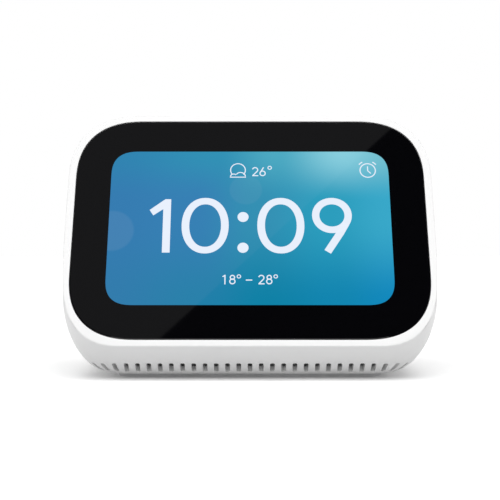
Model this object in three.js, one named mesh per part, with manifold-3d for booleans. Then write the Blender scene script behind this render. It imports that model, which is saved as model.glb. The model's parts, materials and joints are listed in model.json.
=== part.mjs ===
// A wedge-shaped desk smart display, as an assembly of its separate pieces.
// Millimetres. +X is to the right of someone facing the screen, +Y runs to the back, +Z is up.
// The origin is the middle of the footprint, on the surface that the rubber foot stands on.
import * as THREE from "three";
import { mergeVertices } from "three/addons/utils/BufferGeometryUtils.js";
import Module from "manifold-3d";

const wasm = await Module();
wasm.setup();

// ---------------------------------------------------------------- driving dimensions

const DEPTH = 68; // front lip to the back of the shell
const FACE_TILT = THREE.MathUtils.degToRad(24.3); // screen's lean from upright
const LIP_HEIGHT = 10.5; // lower edge of the tilted face above the table
const STAND_OFF = 1.2; // how far the rubber foot lifts the shell

const GLASS_WIDTH = 108.1;
const GLASS_HEIGHT = 73.5;
const GLASS_THICKNESS = 1.6;
const GLASS_CORNER = 21;
const GLASS_CURVE = 2.5; // exponent of the glass outline's soft corners
const RIM = 2.05; // white border of the shell round the glass
const SIDE_SWELL = 0.4; // how far the sides stand outside the rim

const WALL = 2;
const SKIRT_SPREAD = 15; // horizontal reach of the rounding under the shell
const SKIRT_RISE = 24; // its height
const TOP_FLAT_END = 12; // where the flat top starts to roll over to the back
const BACK_CURVE = 1.7; // how early the back starts to lean forward
const FRONT_CORNER = 18; // plan corner radii of the shell
const BACK_CORNER = 26;
const CORNER_CURVE = 2.5;
const CORNER_SHRINK = 0.7; // share of a level's inset that its corners lose
const BACK_TAPER = 0.05; // share of its width that the shell loses at the back

const CLEAR = 0.3; // between pieces that are assembled into one another
const SEAT_GAP = 0.1; // between faces that rest on each other

const RECESS_DEPTH = GLASS_THICKNESS + 0.6; // seat of the glass in the shell
const LEDGE = 2; // thickness of the shell's ledge behind the glass
const LCD_WIDTH = 97.4; // outside of the display module's steel tray
const LCD_HEIGHT = 58.4;
const LCD_CORNER = 1.2;
const TRAY_WALL = 0.4;
const LCD_PANEL = 1.4;
const BACKLIGHT = 2;
const BRACKET = 1.4; // sheet thickness of the display bracket
const BRACKET_BOSS = { x: 38, y: 33.3, r: 2.4 };
const BRACKET_PLATE = { halfX: 47, halfY: 35.2, r: 8 };
const TOUCH_SENSOR = { halfX: 47, halfY: 28, sheet: 0.3 };
const TAPE = { edge: 0.8, inside: 3, sheet: 0.3 }; // insets from the glass's edge
const FLEX = 0.2; // thickness of the ribbons

const BOARD = 1.2; // thickness of the main circuit board
const SMALL_BOARD = 1; // thickness of the small circuit boards
const MAIN_BOARD = { width: 88, height: 44, rise: 4, standOff: 3.6 };
const SHIELD = { size: 26, height: 2.2, sheet: 0.3, x: -14, y: 4 };
const SPREADER = { width: 44, height: 32, sheet: 1 };

const SLOT_WIDTH = 1.4;
const SLOT_LENGTH = 4.6; // along the skirt, from end to end
const SLOT_PITCH = 3.33;
const SLOT_HEIGHT = 3.55; // of a slot's middle above the table
const SLOT_SLOPE = THREE.MathUtils.degToRad(52); // how far down a slot points

const FOOT_MARGIN = 0.6; // base cover left round the rubber foot
const FOOT_SEAT = 0.6; // how deep the foot sits in the base cover
const BASE_COVER = 2;
const BASE_EDGE = 0.5; // shell's flat underside left round the base cover
const BASE_CORNER = 6.5;
const BASE_POST = { x: 38.9 - WALL, front: -15.5, back: 15.5 - WALL, r: 3 }; // inside the dust band
const BOSS_BOTTOM = 9; // lower end of the shell's screw bosses

const BUTTON = { length: 15, width: 5, x: 20, y: 7, proud: 0.35, travel: 0.3 };
const BUTTON_FLANGE = 0.8; // collar that keeps a button in the shell
const COLLAR_REACH = 0.8; // how far the collar stands out
const COLLAR_CLEAR = 0.03; // least room between the collar and the shell's rolled back
const BUTTON_STEM = 1.5;
const SWITCH = { half: 3, height: 2.4, plunger: 1.2 }; // under a button
const BUTTON_BOARD = { width: 60, depth: 10, x: 0, y: 10.5, top: 73 };
const MIC = { width: 3, depth: 4, height: 1 };
const MIC_X = 5.2;
const MIC_HOLE = 0.6;

const REAR_X = 27; // line of the power socket and the mute slider
const JACK = { z: 18, bore: 2.85, pin: 1, nose: 4.2, body: 9.4, length: 10.6 };
const JACK_GAP = 0.33; // between the socket and the shell's inner face
const POWER_BOARD = { width: 22, height: 17, below: 8.6 };
const MUTE = { z: 38, knob: 4.6, height: 3.2, travel: 2.6, proud: 0.4, board: 26 };

const SPEAKER = { x: -13, y: 8.3, flange: 18.6, cone: 12.4, magnet: 11, travel: 1 };
const SPEAKER_BOX = { left: -33.4, right: 8, back: 26.5, bottom: 12, top: 50, wall: 1.8 };
const BOX_FRONT_DEPTH = 18.2; // behind the tilted face
const BOX_LUG = { reach: 3.6, y: 2, sheet: 2 };

const PILOT = 1; // hole that a screw cuts its thread in
const STAKE = 0.8; // plastic peg that holds the mute board
const SCREW = { shank: 0.9, head: 1.75, headHeight: 1 };
const LEAD_RADIUS = { power: 0.9, speaker: 0.7 };

// ---------------------------------------------------------------- sizes that follow

const cosTilt = Math.cos(FACE_TILT);
const sinTilt = Math.sin(FACE_TILT);
const FACE_HEIGHT = GLASS_HEIGHT + 2 * RIM;
const FACE_HALF = GLASS_WIDTH / 2 + RIM;
const HALF_WIDTH = FACE_HALF + SIDE_SWELL;
const FRONT_Y = -DEPTH / 2;
const BACK_Y = DEPTH / 2;
const TOP_Z = LIP_HEIGHT + FACE_HEIGHT * cosTilt;
const SKIRT_TOP = STAND_OFF + SKIRT_RISE;
const FACE_CORNER = GLASS_CORNER + RIM;
const TOP_CORNER_RISE = FACE_CORNER * cosTilt;
const skirtInset = (z) => ellipseInset(SKIRT_TOP - z, SKIRT_SPREAD, SKIRT_RISE);
const BLANK_FRONT = FRONT_Y - skirtInset(LIP_HEIGHT); // front of the shell before the face is cut
const FRAME_BACK = RECESS_DEPTH + LEDGE; // back of the ledge, behind the face
const TRAY_FRONT = GLASS_THICKNESS + 0.7;
const TRAY_BACK = TRAY_FRONT + LCD_PANEL + BACKLIGHT + 2 * SEAT_GAP + TRAY_WALL;
const BRACKET_FRONT = TRAY_BACK + CLEAR;
const BRACKET_BACK = BRACKET_FRONT + BRACKET;
const BOARD_FRONT = BRACKET_BACK + MAIN_BOARD.standOff;
const BOARD_BACK = BOARD_FRONT + BOARD;
const FLOOR_TOP = STAND_OFF + BASE_COVER;
const CEILING = TOP_Z - WALL;
const BASE_HALF = HALF_WIDTH - SKIRT_SPREAD - BASE_EDGE;
const BASE_FRONT = BLANK_FRONT + SKIRT_SPREAD + BASE_EDGE;
const BASE_BACK = BACK_Y - SKIRT_SPREAD - BASE_EDGE;
const BASE_MIDDLE = (BASE_FRONT + BASE_BACK) / 2;
const BASE_REACH = (BASE_BACK - BASE_FRONT) / 2;

// ---------------------------------------------------------------- materials

const material = (color, roughness, metalness = 0) =>
  new THREE.MeshStandardMaterial({ color, roughness, metalness });
const whitePlastic = material(0xf2f2f1, 0.55);
const greyPlastic = material(0xc9cacb, 0.6);
const blackPlastic = material(0x1b1c1e, 0.6);
const blackGlass = material(0x050506, 0.08);
const screenBlue = material(0x2d87bd, 0.3);
const foam = material(0x242424, 0.95);
const rubber = material(0x4a4b4d, 0.9);
const steel = material(0xb8bbbf, 0.35, 1);
const aluminium = material(0xc6c8ca, 0.4, 1);
const circuitGreen = material(0x1f5a3a, 0.55);
const flexAmber = material(0xb5722a, 0.45);
const chipBlack = material(0x17181a, 0.5);
const magnetGrey = material(0x55585c, 0.5, 0.6);
const paperCone = material(0x2a2a2c, 0.85);
const copper = material(0xb4683a, 0.35, 1);
const cableBlack = material(0x202124, 0.6);

// ---------------------------------------------------------------- solids

// A closed three.js geometry as a manifold-3d solid.
function solid(geometry) {
  const bare = geometry.index ? geometry.toNonIndexed() : geometry.clone();
  bare.deleteAttribute("normal");
  bare.deleteAttribute("uv");
  const merged = mergeVertices(bare, 1e-4);
  const mesh = new wasm.Mesh({
    numProp: 3,
    vertProperties: merged.attributes.position.array,
    triVerts: new Uint32Array(merged.index.array),
  });
  return new wasm.Manifold(mesh);
}

function geometryOf(made) {
  const mesh = made.getMesh();
  return new THREE.BufferGeometry()
    .setAttribute("position", new THREE.BufferAttribute(mesh.vertProperties, 3))
    .setIndex(new THREE.BufferAttribute(mesh.triVerts, 1));
}

const joined = (pieces) => pieces.reduce((a, b) => a.add(b));
const minus = (body, cutters) => (cutters.length ? body.subtract(joined(cutters)) : body);

// Distance that a quarter ellipse has drawn in at `below` under its widest level.
function ellipseInset(below, spread, rise) {
  const share = Math.min(1, Math.max(0, below / rise));
  return spread * (1 - Math.sqrt(1 - share * share));
}

// A rounded rectangle about (x, y), counter-clockwise. `curve` 2 gives circular corners.
function roundedOutline({ halfX, halfY, r, x = 0, y = 0, curve = 2, steps = 5 }) {
  const points = [];
  for (let corner = 0; corner < 4; corner++) {
    const signX = corner === 0 || corner === 3 ? 1 : -1;
    const signY = corner < 2 ? 1 : -1;
    for (let i = 0; i <= steps; i++) {
      const a = ((corner + i / steps) * Math.PI) / 2;
      const reachX = Math.abs(Math.cos(a)) ** (2 / curve);
      const reachY = Math.abs(Math.sin(a)) ** (2 / curve);
      const px = signX * (halfX - r + r * reachX);
      const py = signY * (halfY - r + r * reachY);
      points.push(new THREE.Vector2(x + px, y + py));
    }
  }
  return points;
}

const circle = (r, x = 0, y = 0, sides = 12) =>
  Array.from({ length: sides }, (_, i) => {
    const a = ((i + 0.5) / sides) * 2 * Math.PI;
    return new THREE.Vector2(x + r * Math.cos(a), y + r * Math.sin(a));
  });

// An outline with holes, standing from z0 to z1.
function slab(outline, z0, z1, holes = []) {
  const shape = new THREE.Shape(outline);
  shape.holes = holes.map((hole) => new THREE.Path(hole));
  const options = { depth: z1 - z0, bevelEnabled: false };
  return new THREE.ExtrudeGeometry(shape, options).translate(0, 0, z0);
}

const slabSolid = (outline, z0, z1, holes) => solid(slab(outline, z0, z1, holes));

function box(x0, x1, y0, y1, z0, z1) {
  const made = new THREE.BoxGeometry(x1 - x0, y1 - y0, z1 - z0);
  return made.translate((x0 + x1) / 2, (y0 + y1) / 2, (z0 + z1) / 2);
}

const boxSolid = (...corners) => solid(box(...corners));

// A turned piece about the Z axis at (x, y), from a closed line of [radius, z] points.
function turned(profile, sides, x = 0, y = 0) {
  const points = profile.map(([r, z]) => new THREE.Vector2(r, z));
  return new THREE.LatheGeometry(points, sides).rotateX(Math.PI / 2).translate(x, y, 0);
}

const cylinder = (r, z0, z1, x = 0, y = 0, sides = 12) => slab(circle(r, x, y, sides), z0, z1);
const rod = (...sizes) => solid(cylinder(...sizes));

// Turns a piece that stands along +Z so that it points along +Y, with its foot at (x, y, z).
const pointBack = (geometry, x, y, z) => geometry.rotateX(-Math.PI / 2).translate(x, y, z);

// A round wire or a flat ribbon along points.
function swept(section, points, steps) {
  const path = new THREE.CatmullRomCurve3(points.map((p) => new THREE.Vector3(...p)));
  const options = { steps, extrudePath: path, bevelEnabled: false };
  return new THREE.ExtrudeGeometry(new THREE.Shape(section), options);
}

// A bent ribbon: a polyline in the (along, across) plane given a thickness, extruded over its width.
function ribbon(line, thickness, width) {
  const left = [];
  const right = [];
  line.forEach(([u, w], i) => {
    const [pu, pw] = line[Math.max(0, i - 1)];
    const [nu, nw] = line[Math.min(line.length - 1, i + 1)];
    const length = Math.hypot(nu - pu, nw - pw);
    const du = ((pw - nw) / length) * (thickness / 2);
    const dw = ((nu - pu) / length) * (thickness / 2);
    left.push(new THREE.Vector2(u + du, w + dw));
    right.unshift(new THREE.Vector2(u - du, w - dw));
  });
  return slab([...right, ...left], -width / 2, width / 2);
}

// ---------------------------------------------------------------- assembly

const assembly = new THREE.Group();

// The tilted face's own frame: x across, y up the face, z out of the glass, 0 at the middle of the face.
const face = new THREE.Group();
face.position.set(0, FRONT_Y + (FACE_HEIGHT / 2) * sinTilt, LIP_HEIGHT + (FACE_HEIGHT / 2) * cosTilt);
face.rotation.x = Math.PI / 2 - FACE_TILT;
face.updateMatrix();
assembly.add(face);

function addPart(name, geometry, itsMaterial, parent = assembly) {
  const mesh = new THREE.Mesh(geometry, itsMaterial);
  mesh.name = name;
  parent.add(mesh);
  return mesh;
}

// How far back a plane that lies `depth` behind the tilted face is at height z.
const faceY = (z, depth) => FRONT_Y + (depth + (z - LIP_HEIGHT) * sinTilt) / cosTilt;

const fromFace = (geometry) => geometry.applyMatrix4(face.matrix);

// The shell's front, back and side lines at height z, each drawn in by `inset` for an inner surface.
function levelAt(z, inset) {
  const skirt = ellipseInset(SKIRT_TOP - z, SKIRT_SPREAD - inset, SKIRT_RISE - inset);
  const intoCorner = (z - TOP_Z + TOP_CORNER_RISE) / (TOP_CORNER_RISE - inset);
  const corner = Math.min(1, Math.max(0, intoCorner)) ** GLASS_CURVE;
  const shoulder = (FACE_CORNER - inset) * (1 - (1 - corner) ** (1 / GLASS_CURVE));
  const climb = Math.max(0, (z - SKIRT_TOP) / (TOP_Z - inset - SKIRT_TOP));
  const lean = (BACK_Y - TOP_FLAT_END) * (1 - Math.sqrt(1 - Math.min(1, climb) ** BACK_CURVE));
  return {
    z,
    half: HALF_WIDTH - inset - skirt - shoulder,
    front: BLANK_FRONT + inset + skirt,
    back: BACK_Y - inset - skirt - lean,
    frontCorner: FRONT_CORNER - inset - CORNER_SHRINK * Math.max(skirt, shoulder),
    backCorner: BACK_CORNER - inset - CORNER_SHRINK * Math.max(skirt, shoulder, lean),
  };
}

// The shell's plan outline at a level, counter-clockwise from the right, with `steps` to each corner.
function planOutline(level, steps) {
  const { half, front, back, frontCorner, backCorner } = level;
  const points = [];
  for (let corner = 0; corner < 4; corner++) {
    const signX = corner === 0 || corner === 3 ? 1 : -1;
    const atBack = corner < 2;
    const r = atBack ? backCorner : frontCorner;
    for (let i = 0; i <= steps; i++) {
      const a = ((corner + i / steps) * Math.PI) / 2;
      const reachX = Math.abs(Math.cos(a)) ** (2 / CORNER_CURVE);
      const reachY = Math.abs(Math.sin(a)) ** (2 / CORNER_CURVE);
      const y = atBack ? back - r + r * reachY : front + r - r * reachY;
      const taper = 1 - BACK_TAPER * (Math.max(0, y) / BACK_Y) ** 2;
      points.push([signX * (half - r + r * reachX) * taper, y]);
    }
  }
  return points;
}

// A closed skin through the plan outlines at a list of heights.
function stack(heights, inset, steps) {
  const rings = heights.map((z) => planOutline(levelAt(z, inset), steps).map(([x, y]) => [x, y, z]));
  const count = rings[0].length;
  const last = (rings.length - 1) * count;
  const middle = (ring) => [0, (ring[0][1] + ring[2 * steps + 2][1]) / 2, ring[0][2]];
  const vertices = [...rings.flat(), middle(rings[0]), middle(rings.at(-1))];
  const faces = [];
  for (let i = 0; i < count; i++) {
    const next = (i + 1) % count;
    for (let k = 0; k < rings.length - 1; k++) {
      const a = k * count + i;
      const b = k * count + next;
      faces.push(a, b, b + count, a, b + count, a + count);
    }
    faces.push(vertices.length - 2, next, i, vertices.length - 1, last + i, last + next);
  }
  const geometry = new THREE.BufferGeometry();
  geometry.setAttribute("position", new THREE.Float32BufferAttribute(vertices.flat(), 3));
  return geometry.setIndex(faces);
}

// Heights that crowd where the skirt and the top corners curve most.
function skinHeights(inset, bottom, skirtSteps, upperSteps) {
  const rise = SKIRT_RISE - inset;
  const start = Math.acos(Math.min(1, (SKIRT_TOP - bottom) / rise));
  const heights = [];
  for (let i = 0; i < skirtSteps; i++) {
    const a = start + ((Math.PI / 2 - start) * i) / skirtSteps;
    heights.push(SKIRT_TOP - rise * Math.cos(a));
  }
  for (let i = 0; i <= upperSteps; i++) {
    const a = ((Math.PI / 2) * i) / upperSteps;
    heights.push(SKIRT_TOP + (TOP_Z - inset - SKIRT_TOP) * Math.sin(a));
  }
  return heights;
}

const CORNER_STEPS = 6;
const OUTER_STEPS = { skirt: 8, upper: 10 };
const INNER_STEPS = { skirt: 7, upper: 9 };
const skin = (inset, { skirt, upper }) =>
  solid(stack(skinHeights(inset, STAND_OFF + inset, skirt, upper), inset, CORNER_STEPS));

// Everything in front of a plane that lies `depth` behind the tilted face.
const aheadOfFace = (depth) => solid(fromFace(box(-200, 200, -200, 200, -depth, 200)));

const baseOutline = (grow) =>
  roundedOutline({
    halfX: BASE_HALF + grow,
    halfY: BASE_REACH + grow,
    r: BASE_CORNER + grow,
    y: BASE_MIDDLE,
  });

// Where a slot sits on the skirt: its middle and the way that the skirt faces there, in plan.
function slotPlaces() {
  const outline = planOutline(levelAt(SLOT_HEIGHT, 0), 24);
  const start = outline.length * 0.75; // the outline's own middle of the front line
  const firstFront = Math.floor(start);
  const loop = outline.map((_, i) => outline[(firstFront + i) % outline.length]);
  loop.unshift([0, loop[0][1]]);
  loop.push([0, loop[0][1]]);
  const lengths = loop.slice(1).map(([x, y], i) => Math.hypot(x - loop[i][0], y - loop[i][1]));
  const round = lengths.reduce((a, b) => a + b);
  const count = Math.round(round / SLOT_PITCH);
  const places = [];
  let side = 0;
  let passed = 0;
  for (let i = 0; i < count; i++) {
    const along = (i * round) / count;
    while (along > passed + lengths[side]) passed += lengths[side++];
    const share = (along - passed) / lengths[side];
    const [ax, ay] = loop[side];
    const [bx, by] = loop[side + 1];
    const facing = Math.atan2(ax - bx, by - ay);
    places.push({ x: ax + (bx - ax) * share, y: ay + (by - ay) * share, facing });
  }
  return places;
}

function slotCutter({ x, y, facing }) {
  const outline = roundedOutline({
    halfX: SLOT_WIDTH / 2,
    halfY: SLOT_LENGTH / 2,
    r: 0.45,
    steps: 1,
  });
  const cutter = slab(outline, -3.4, 2);
  cutter.rotateX(Math.PI / 2 + SLOT_SLOPE); // +Z now points out of the skirt, towards -Y and down
  cutter.rotateZ(facing + Math.PI / 2);
  return solid(cutter.translate(x, y, SLOT_HEIGHT));
}

const pillOutline = (length, width, x, y) =>
  roundedOutline({ halfX: length / 2, halfY: width / 2, r: width / 2 - 0.01, x, y, steps: 4 });

const backAt = (z, inset = 0) => levelAt(z, inset).back;

// The power board stands where the socket on its back just clears the shell's inner face.
const socketBack = backAt(JACK.z - JACK.body / 2, WALL) - JACK_GAP;
const POWER_BOARD_FRONT = socketBack - JACK.length - SMALL_BOARD - SEAT_GAP;

// Height of the shell's inner face over a place y on its top, where it rolls over to the back.
function ceilingAt(y) {
  const levels = skinHeights(WALL, STAND_OFF + WALL, INNER_STEPS.skirt, INNER_STEPS.upper);
  const above = levels.findIndex((z) => z > SKIRT_TOP && backAt(z, WALL) < y);
  if (above < 0) return CEILING;
  const [low, high] = [levels[above - 1], levels[above]];
  const share = (backAt(low, WALL) - y) / (backAt(low, WALL) - backAt(high, WALL));
  return low + (high - low) * share;
}

// Screw bosses inside the shell: four for the base cover, each held to the side wall by a rib.
function baseBosses() {
  const made = [];
  for (const side of [-1, 1]) {
    for (const y of [BASE_POST.front, BASE_POST.back]) {
      const x = side * BASE_POST.x;
      const wallX = side * levelAt(BOSS_BOTTOM, WALL / 2).half;
      made.push(rod(BASE_POST.r, BOSS_BOTTOM, BOSS_BOTTOM + 7, x, y));
      const rib = [Math.min(x, wallX), Math.max(x, wallX), y - 0.8, y + 0.8];
      made.push(boxSolid(...rib, BOSS_BOTTOM, BOSS_BOTTOM + 5));
    }
  }
  return made;
}

const boardBosses = [-9.8, 9.8].map((x) => ({ x, y: BUTTON_BOARD.y + 0.5, r: 2.2 }));
const powerBosses = [-8.4, 8.4].map((dx) => ({ x: REAR_X + dx, z: JACK.z + 5.2, r: 2 }));
const muteBosses = [-9, 9].map((dx) => ({ x: REAR_X + dx, z: MUTE.z, r: 1.9 }));

function housing() {
  const outer = skin(0, OUTER_STEPS).subtract(aheadOfFace(0));
  const cavity = skin(WALL, INNER_STEPS).subtract(aheadOfFace(FRAME_BACK));
  let shell = outer.subtract(cavity);

  const bosses = baseBosses();
  for (const { x, y, r } of boardBosses)
    bosses.push(rod(r, BUTTON_BOARD.top + SEAT_GAP, CEILING + 0.5, x, y));
  const rearPost = (r, x, z, from) =>
    solid(pointBack(cylinder(r, 0, backAt(z, WALL) + 0.7 - from), x, from, z));
  for (const { x, z, r } of powerBosses)
    bosses.push(rearPost(r, x, z, POWER_BOARD_FRONT + SMALL_BOARD + SEAT_GAP));
  for (const { x, z, r } of muteBosses) {
    bosses.push(rearPost(r, x, z, MUTE.board + SMALL_BOARD + SEAT_GAP));
    bosses.push(rearPost(STAKE, x, z, MUTE.board - 0.8)); // melted over the board in assembly
  }
  for (const x of [-BRACKET_BOSS.x, BRACKET_BOSS.x])
    for (const y of [-BRACKET_BOSS.y, BRACKET_BOSS.y]) {
      const post = cylinder(BRACKET_BOSS.r, SEAT_GAP - BRACKET_FRONT, 0.5 - FRAME_BACK, x, y);
      bosses.push(solid(fromFace(post)));
    }
  shell = shell.add(joined(bosses));

  const cuts = slotPlaces().map(slotCutter);
  const glassSeat = roundedOutline({
    halfX: GLASS_WIDTH / 2 + CLEAR / 2,
    halfY: GLASS_HEIGHT / 2 + CLEAR / 2,
    r: GLASS_CORNER,
    curve: GLASS_CURVE,
    steps: 8,
  });
  cuts.push(solid(fromFace(slab(glassSeat, -RECESS_DEPTH, 5))));
  const window = roundedOutline({
    halfX: LCD_WIDTH / 2 + 2 * CLEAR,
    halfY: LCD_HEIGHT / 2 + 2 * CLEAR,
    r: LCD_CORNER + 2 * CLEAR,
  });
  cuts.push(solid(fromFace(slab(window, -FRAME_BACK - 1, 0))));
  const flexNotch = [-15, 15, -LCD_HEIGHT / 2 - 2.6, 0];
  cuts.push(solid(fromFace(box(...flexNotch, -FRAME_BACK - 1, 0))));
  cuts.push(slabSolid(baseOutline(CLEAR), 0, FLOOR_TOP + 1));

  for (const side of [-1, 1]) {
    const hole = pillOutline(BUTTON.length + CLEAR, BUTTON.width + CLEAR, side * BUTTON.x, BUTTON.y);
    cuts.push(slabSolid(hole, CEILING - 1, TOP_Z + 1));
    cuts.push(rod(MIC_HOLE, CEILING - 1, TOP_Z + 1, side * MIC_X, BUTTON.y, 8));
  }
  for (const side of [-1, 1])
    for (const y of [BASE_POST.front, BASE_POST.back])
      cuts.push(rod(PILOT, BOSS_BOTTOM - 1, BOSS_BOTTOM + 5.5, side * BASE_POST.x, y, 8));
  for (const { x, y } of boardBosses)
    cuts.push(rod(PILOT, BUTTON_BOARD.top - 1, BUTTON_BOARD.top + 4.6, x, y, 8));
  for (const { x, z } of powerBosses)
    cuts.push(solid(pointBack(cylinder(PILOT, 0, 7, 0, 0, 8), x, POWER_BOARD_FRONT + SMALL_BOARD, z)));
  for (const x of [-BRACKET_BOSS.x, BRACKET_BOSS.x])
    for (const y of [-BRACKET_BOSS.y, BRACKET_BOSS.y]) {
      const pilot = cylinder(PILOT, -BRACKET_BACK, 0.4 - FRAME_BACK, x, y, 8);
      cuts.push(solid(fromFace(pilot)));
    }
  const jackHole = cylinder(JACK.nose + CLEAR, 0, 12, 0, 0, 20);
  cuts.push(solid(pointBack(jackHole, REAR_X, backAt(JACK.z) - 5, JACK.z)));
  const windowLeft = REAR_X - MUTE.knob / 2 - MUTE.travel / 2 - CLEAR;
  const windowRight = REAR_X + MUTE.knob / 2 + MUTE.travel / 2 + CLEAR;
  const windowHalf = MUTE.height / 2 + CLEAR;
  const sliderWindow = [windowLeft, windowRight, backAt(MUTE.z) - 4, BACK_Y + 2];
  cuts.push(boxSolid(...sliderWindow, MUTE.z - windowHalf, MUTE.z + windowHalf));
  return geometryOf(minus(shell, cuts));
}

addPart("housing", housing(), whitePlastic);

// ---------------------------------------------------------------- display, in the face's frame

function screw(headZ, length, x, y) {
  // Head at headZ, shank towards +Z.
  const { shank, head, headHeight } = SCREW;
  return turned(
    [
      [0, headZ - headHeight],
      [head, headZ - headHeight],
      [head, headZ],
      [shank, headZ],
      [shank, headZ + length],
      [0, headZ + length],
    ],
    10,
    x,
    y,
  );
}

function displayStack() {
  const glass = roundedOutline({
    halfX: GLASS_WIDTH / 2,
    halfY: GLASS_HEIGHT / 2,
    r: GLASS_CORNER,
    curve: GLASS_CURVE,
    steps: 8,
  });
  addPart("cover_glass", slab(glass, -SEAT_GAP - GLASS_THICKNESS, -SEAT_GAP), blackGlass, face);

  const tapeEdge = (inset) =>
    roundedOutline({
      halfX: GLASS_WIDTH / 2 - inset,
      halfY: GLASS_HEIGHT / 2 - inset,
      r: GLASS_CORNER - inset,
      curve: GLASS_CURVE,
      steps: 6,
    });
  const tapeFront = -GLASS_THICKNESS - 2 * SEAT_GAP;
  const tape = slab(tapeEdge(TAPE.edge), tapeFront - TAPE.sheet, tapeFront, [tapeEdge(TAPE.inside)]);
  addPart("glass_adhesive", tape, foam, face);

  const { halfX, halfY, sheet: film } = TOUCH_SENSOR;
  const sensor = box(-halfX, halfX, -halfY, halfY, tapeFront - film, tapeFront);
  addPart("touch_sensor", sensor, material(0x2a3a44, 0.15), face);

  const insideX = LCD_WIDTH / 2 - TRAY_WALL - SEAT_GAP;
  const insideY = LCD_HEIGHT / 2 - TRAY_WALL - SEAT_GAP;
  const panelBack = TRAY_FRONT + LCD_PANEL;
  const sheet = roundedOutline({ halfX: insideX, halfY: insideY, r: LCD_CORNER - 0.3, steps: 2 });
  addPart("lcd_panel", slab(sheet, -panelBack, -TRAY_FRONT), screenBlue, face);
  const lightFront = panelBack + SEAT_GAP;
  const light = slab(sheet, -lightFront - BACKLIGHT, -lightFront);
  addPart("backlight_panel", light, material(0xe9eef2, 0.5), face);

  const tray = (inset) =>
    roundedOutline({
      halfX: LCD_WIDTH / 2 - inset,
      halfY: LCD_HEIGHT / 2 - inset,
      r: LCD_CORNER - inset,
      steps: 2,
    });
  const trayBody = minus(slabSolid(tray(0), -TRAY_BACK, -TRAY_FRONT), [
    slabSolid(tray(TRAY_WALL), TRAY_WALL - TRAY_BACK, 0),
    boxSolid(-12.5, 12.5, -LCD_HEIGHT, 2 - LCD_HEIGHT / 2, -TRAY_FRONT - LCD_PANEL, 0),
  ]);
  addPart("lcd_tray", geometryOf(trayBody), steel, face);
}

displayStack();

const BOARD_POST_RADIUS = 2.2;
const boardPosts = [
  { x: -40, y: 4 + 18 },
  { x: 40, y: 4 + 18 },
];

function displayBracket() {
  const plate = roundedOutline({ ...BRACKET_PLATE, steps: 3 });
  const lightening = [-1, 1].map((side) =>
    roundedOutline({ halfX: 15, halfY: 11, r: 4, x: side * 20, y: 3, steps: 2 }),
  );
  const holes = [];
  for (const x of [-BRACKET_BOSS.x, BRACKET_BOSS.x])
    for (const y of [-BRACKET_BOSS.y, BRACKET_BOSS.y]) holes.push(circle(PILOT, x, y, 10));
  let body = slabSolid(plate, -BRACKET_BACK, -BRACKET_FRONT, [...lightening, ...holes]);
  for (const { x, y } of boardPosts)
    body = body.add(rod(BOARD_POST_RADIUS, SEAT_GAP - BOARD_FRONT, -BRACKET_BACK + 0.2, x, y));
  const cuts = boardPosts.map(({ x, y }) => rod(PILOT, -BOARD_BACK, -BRACKET_BACK - 0.2, x, y, 8));
  const ribbonGap = [-14, 14, -BRACKET_PLATE.halfY - 5, -LCD_HEIGHT / 2 + 1];
  cuts.push(boxSolid(...ribbonGap, -BRACKET_BACK - 1, 0));
  const edge = MAIN_BOARD.rise - MAIN_BOARD.height / 2 - 0.15; // clips hold the board's lower edge
  const hooks = [-30, 30].flatMap((x) => [
    boxSolid(x - 4, x + 4, edge - 1.6, edge, -BOARD_BACK - 1, -BRACKET_BACK + 0.2),
    boxSolid(x - 4, x + 4, edge - 1.6, edge + 1.4, -BOARD_BACK - 1, -BOARD_BACK - SEAT_GAP),
  ]);
  addPart("display_bracket", geometryOf(minus(body.add(joined(hooks)), cuts)), aluminium, face);

  let n = 1;
  for (const y of [-BRACKET_BOSS.y, BRACKET_BOSS.y])
    for (const x of [-BRACKET_BOSS.x, BRACKET_BOSS.x]) {
      const headZ = -BRACKET_BACK - SEAT_GAP;
      addPart(`bracket_screw_${n++}`, screw(headZ, BRACKET_BACK - FRAME_BACK, x, y), steel, face);
    }
}

displayBracket();

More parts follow.
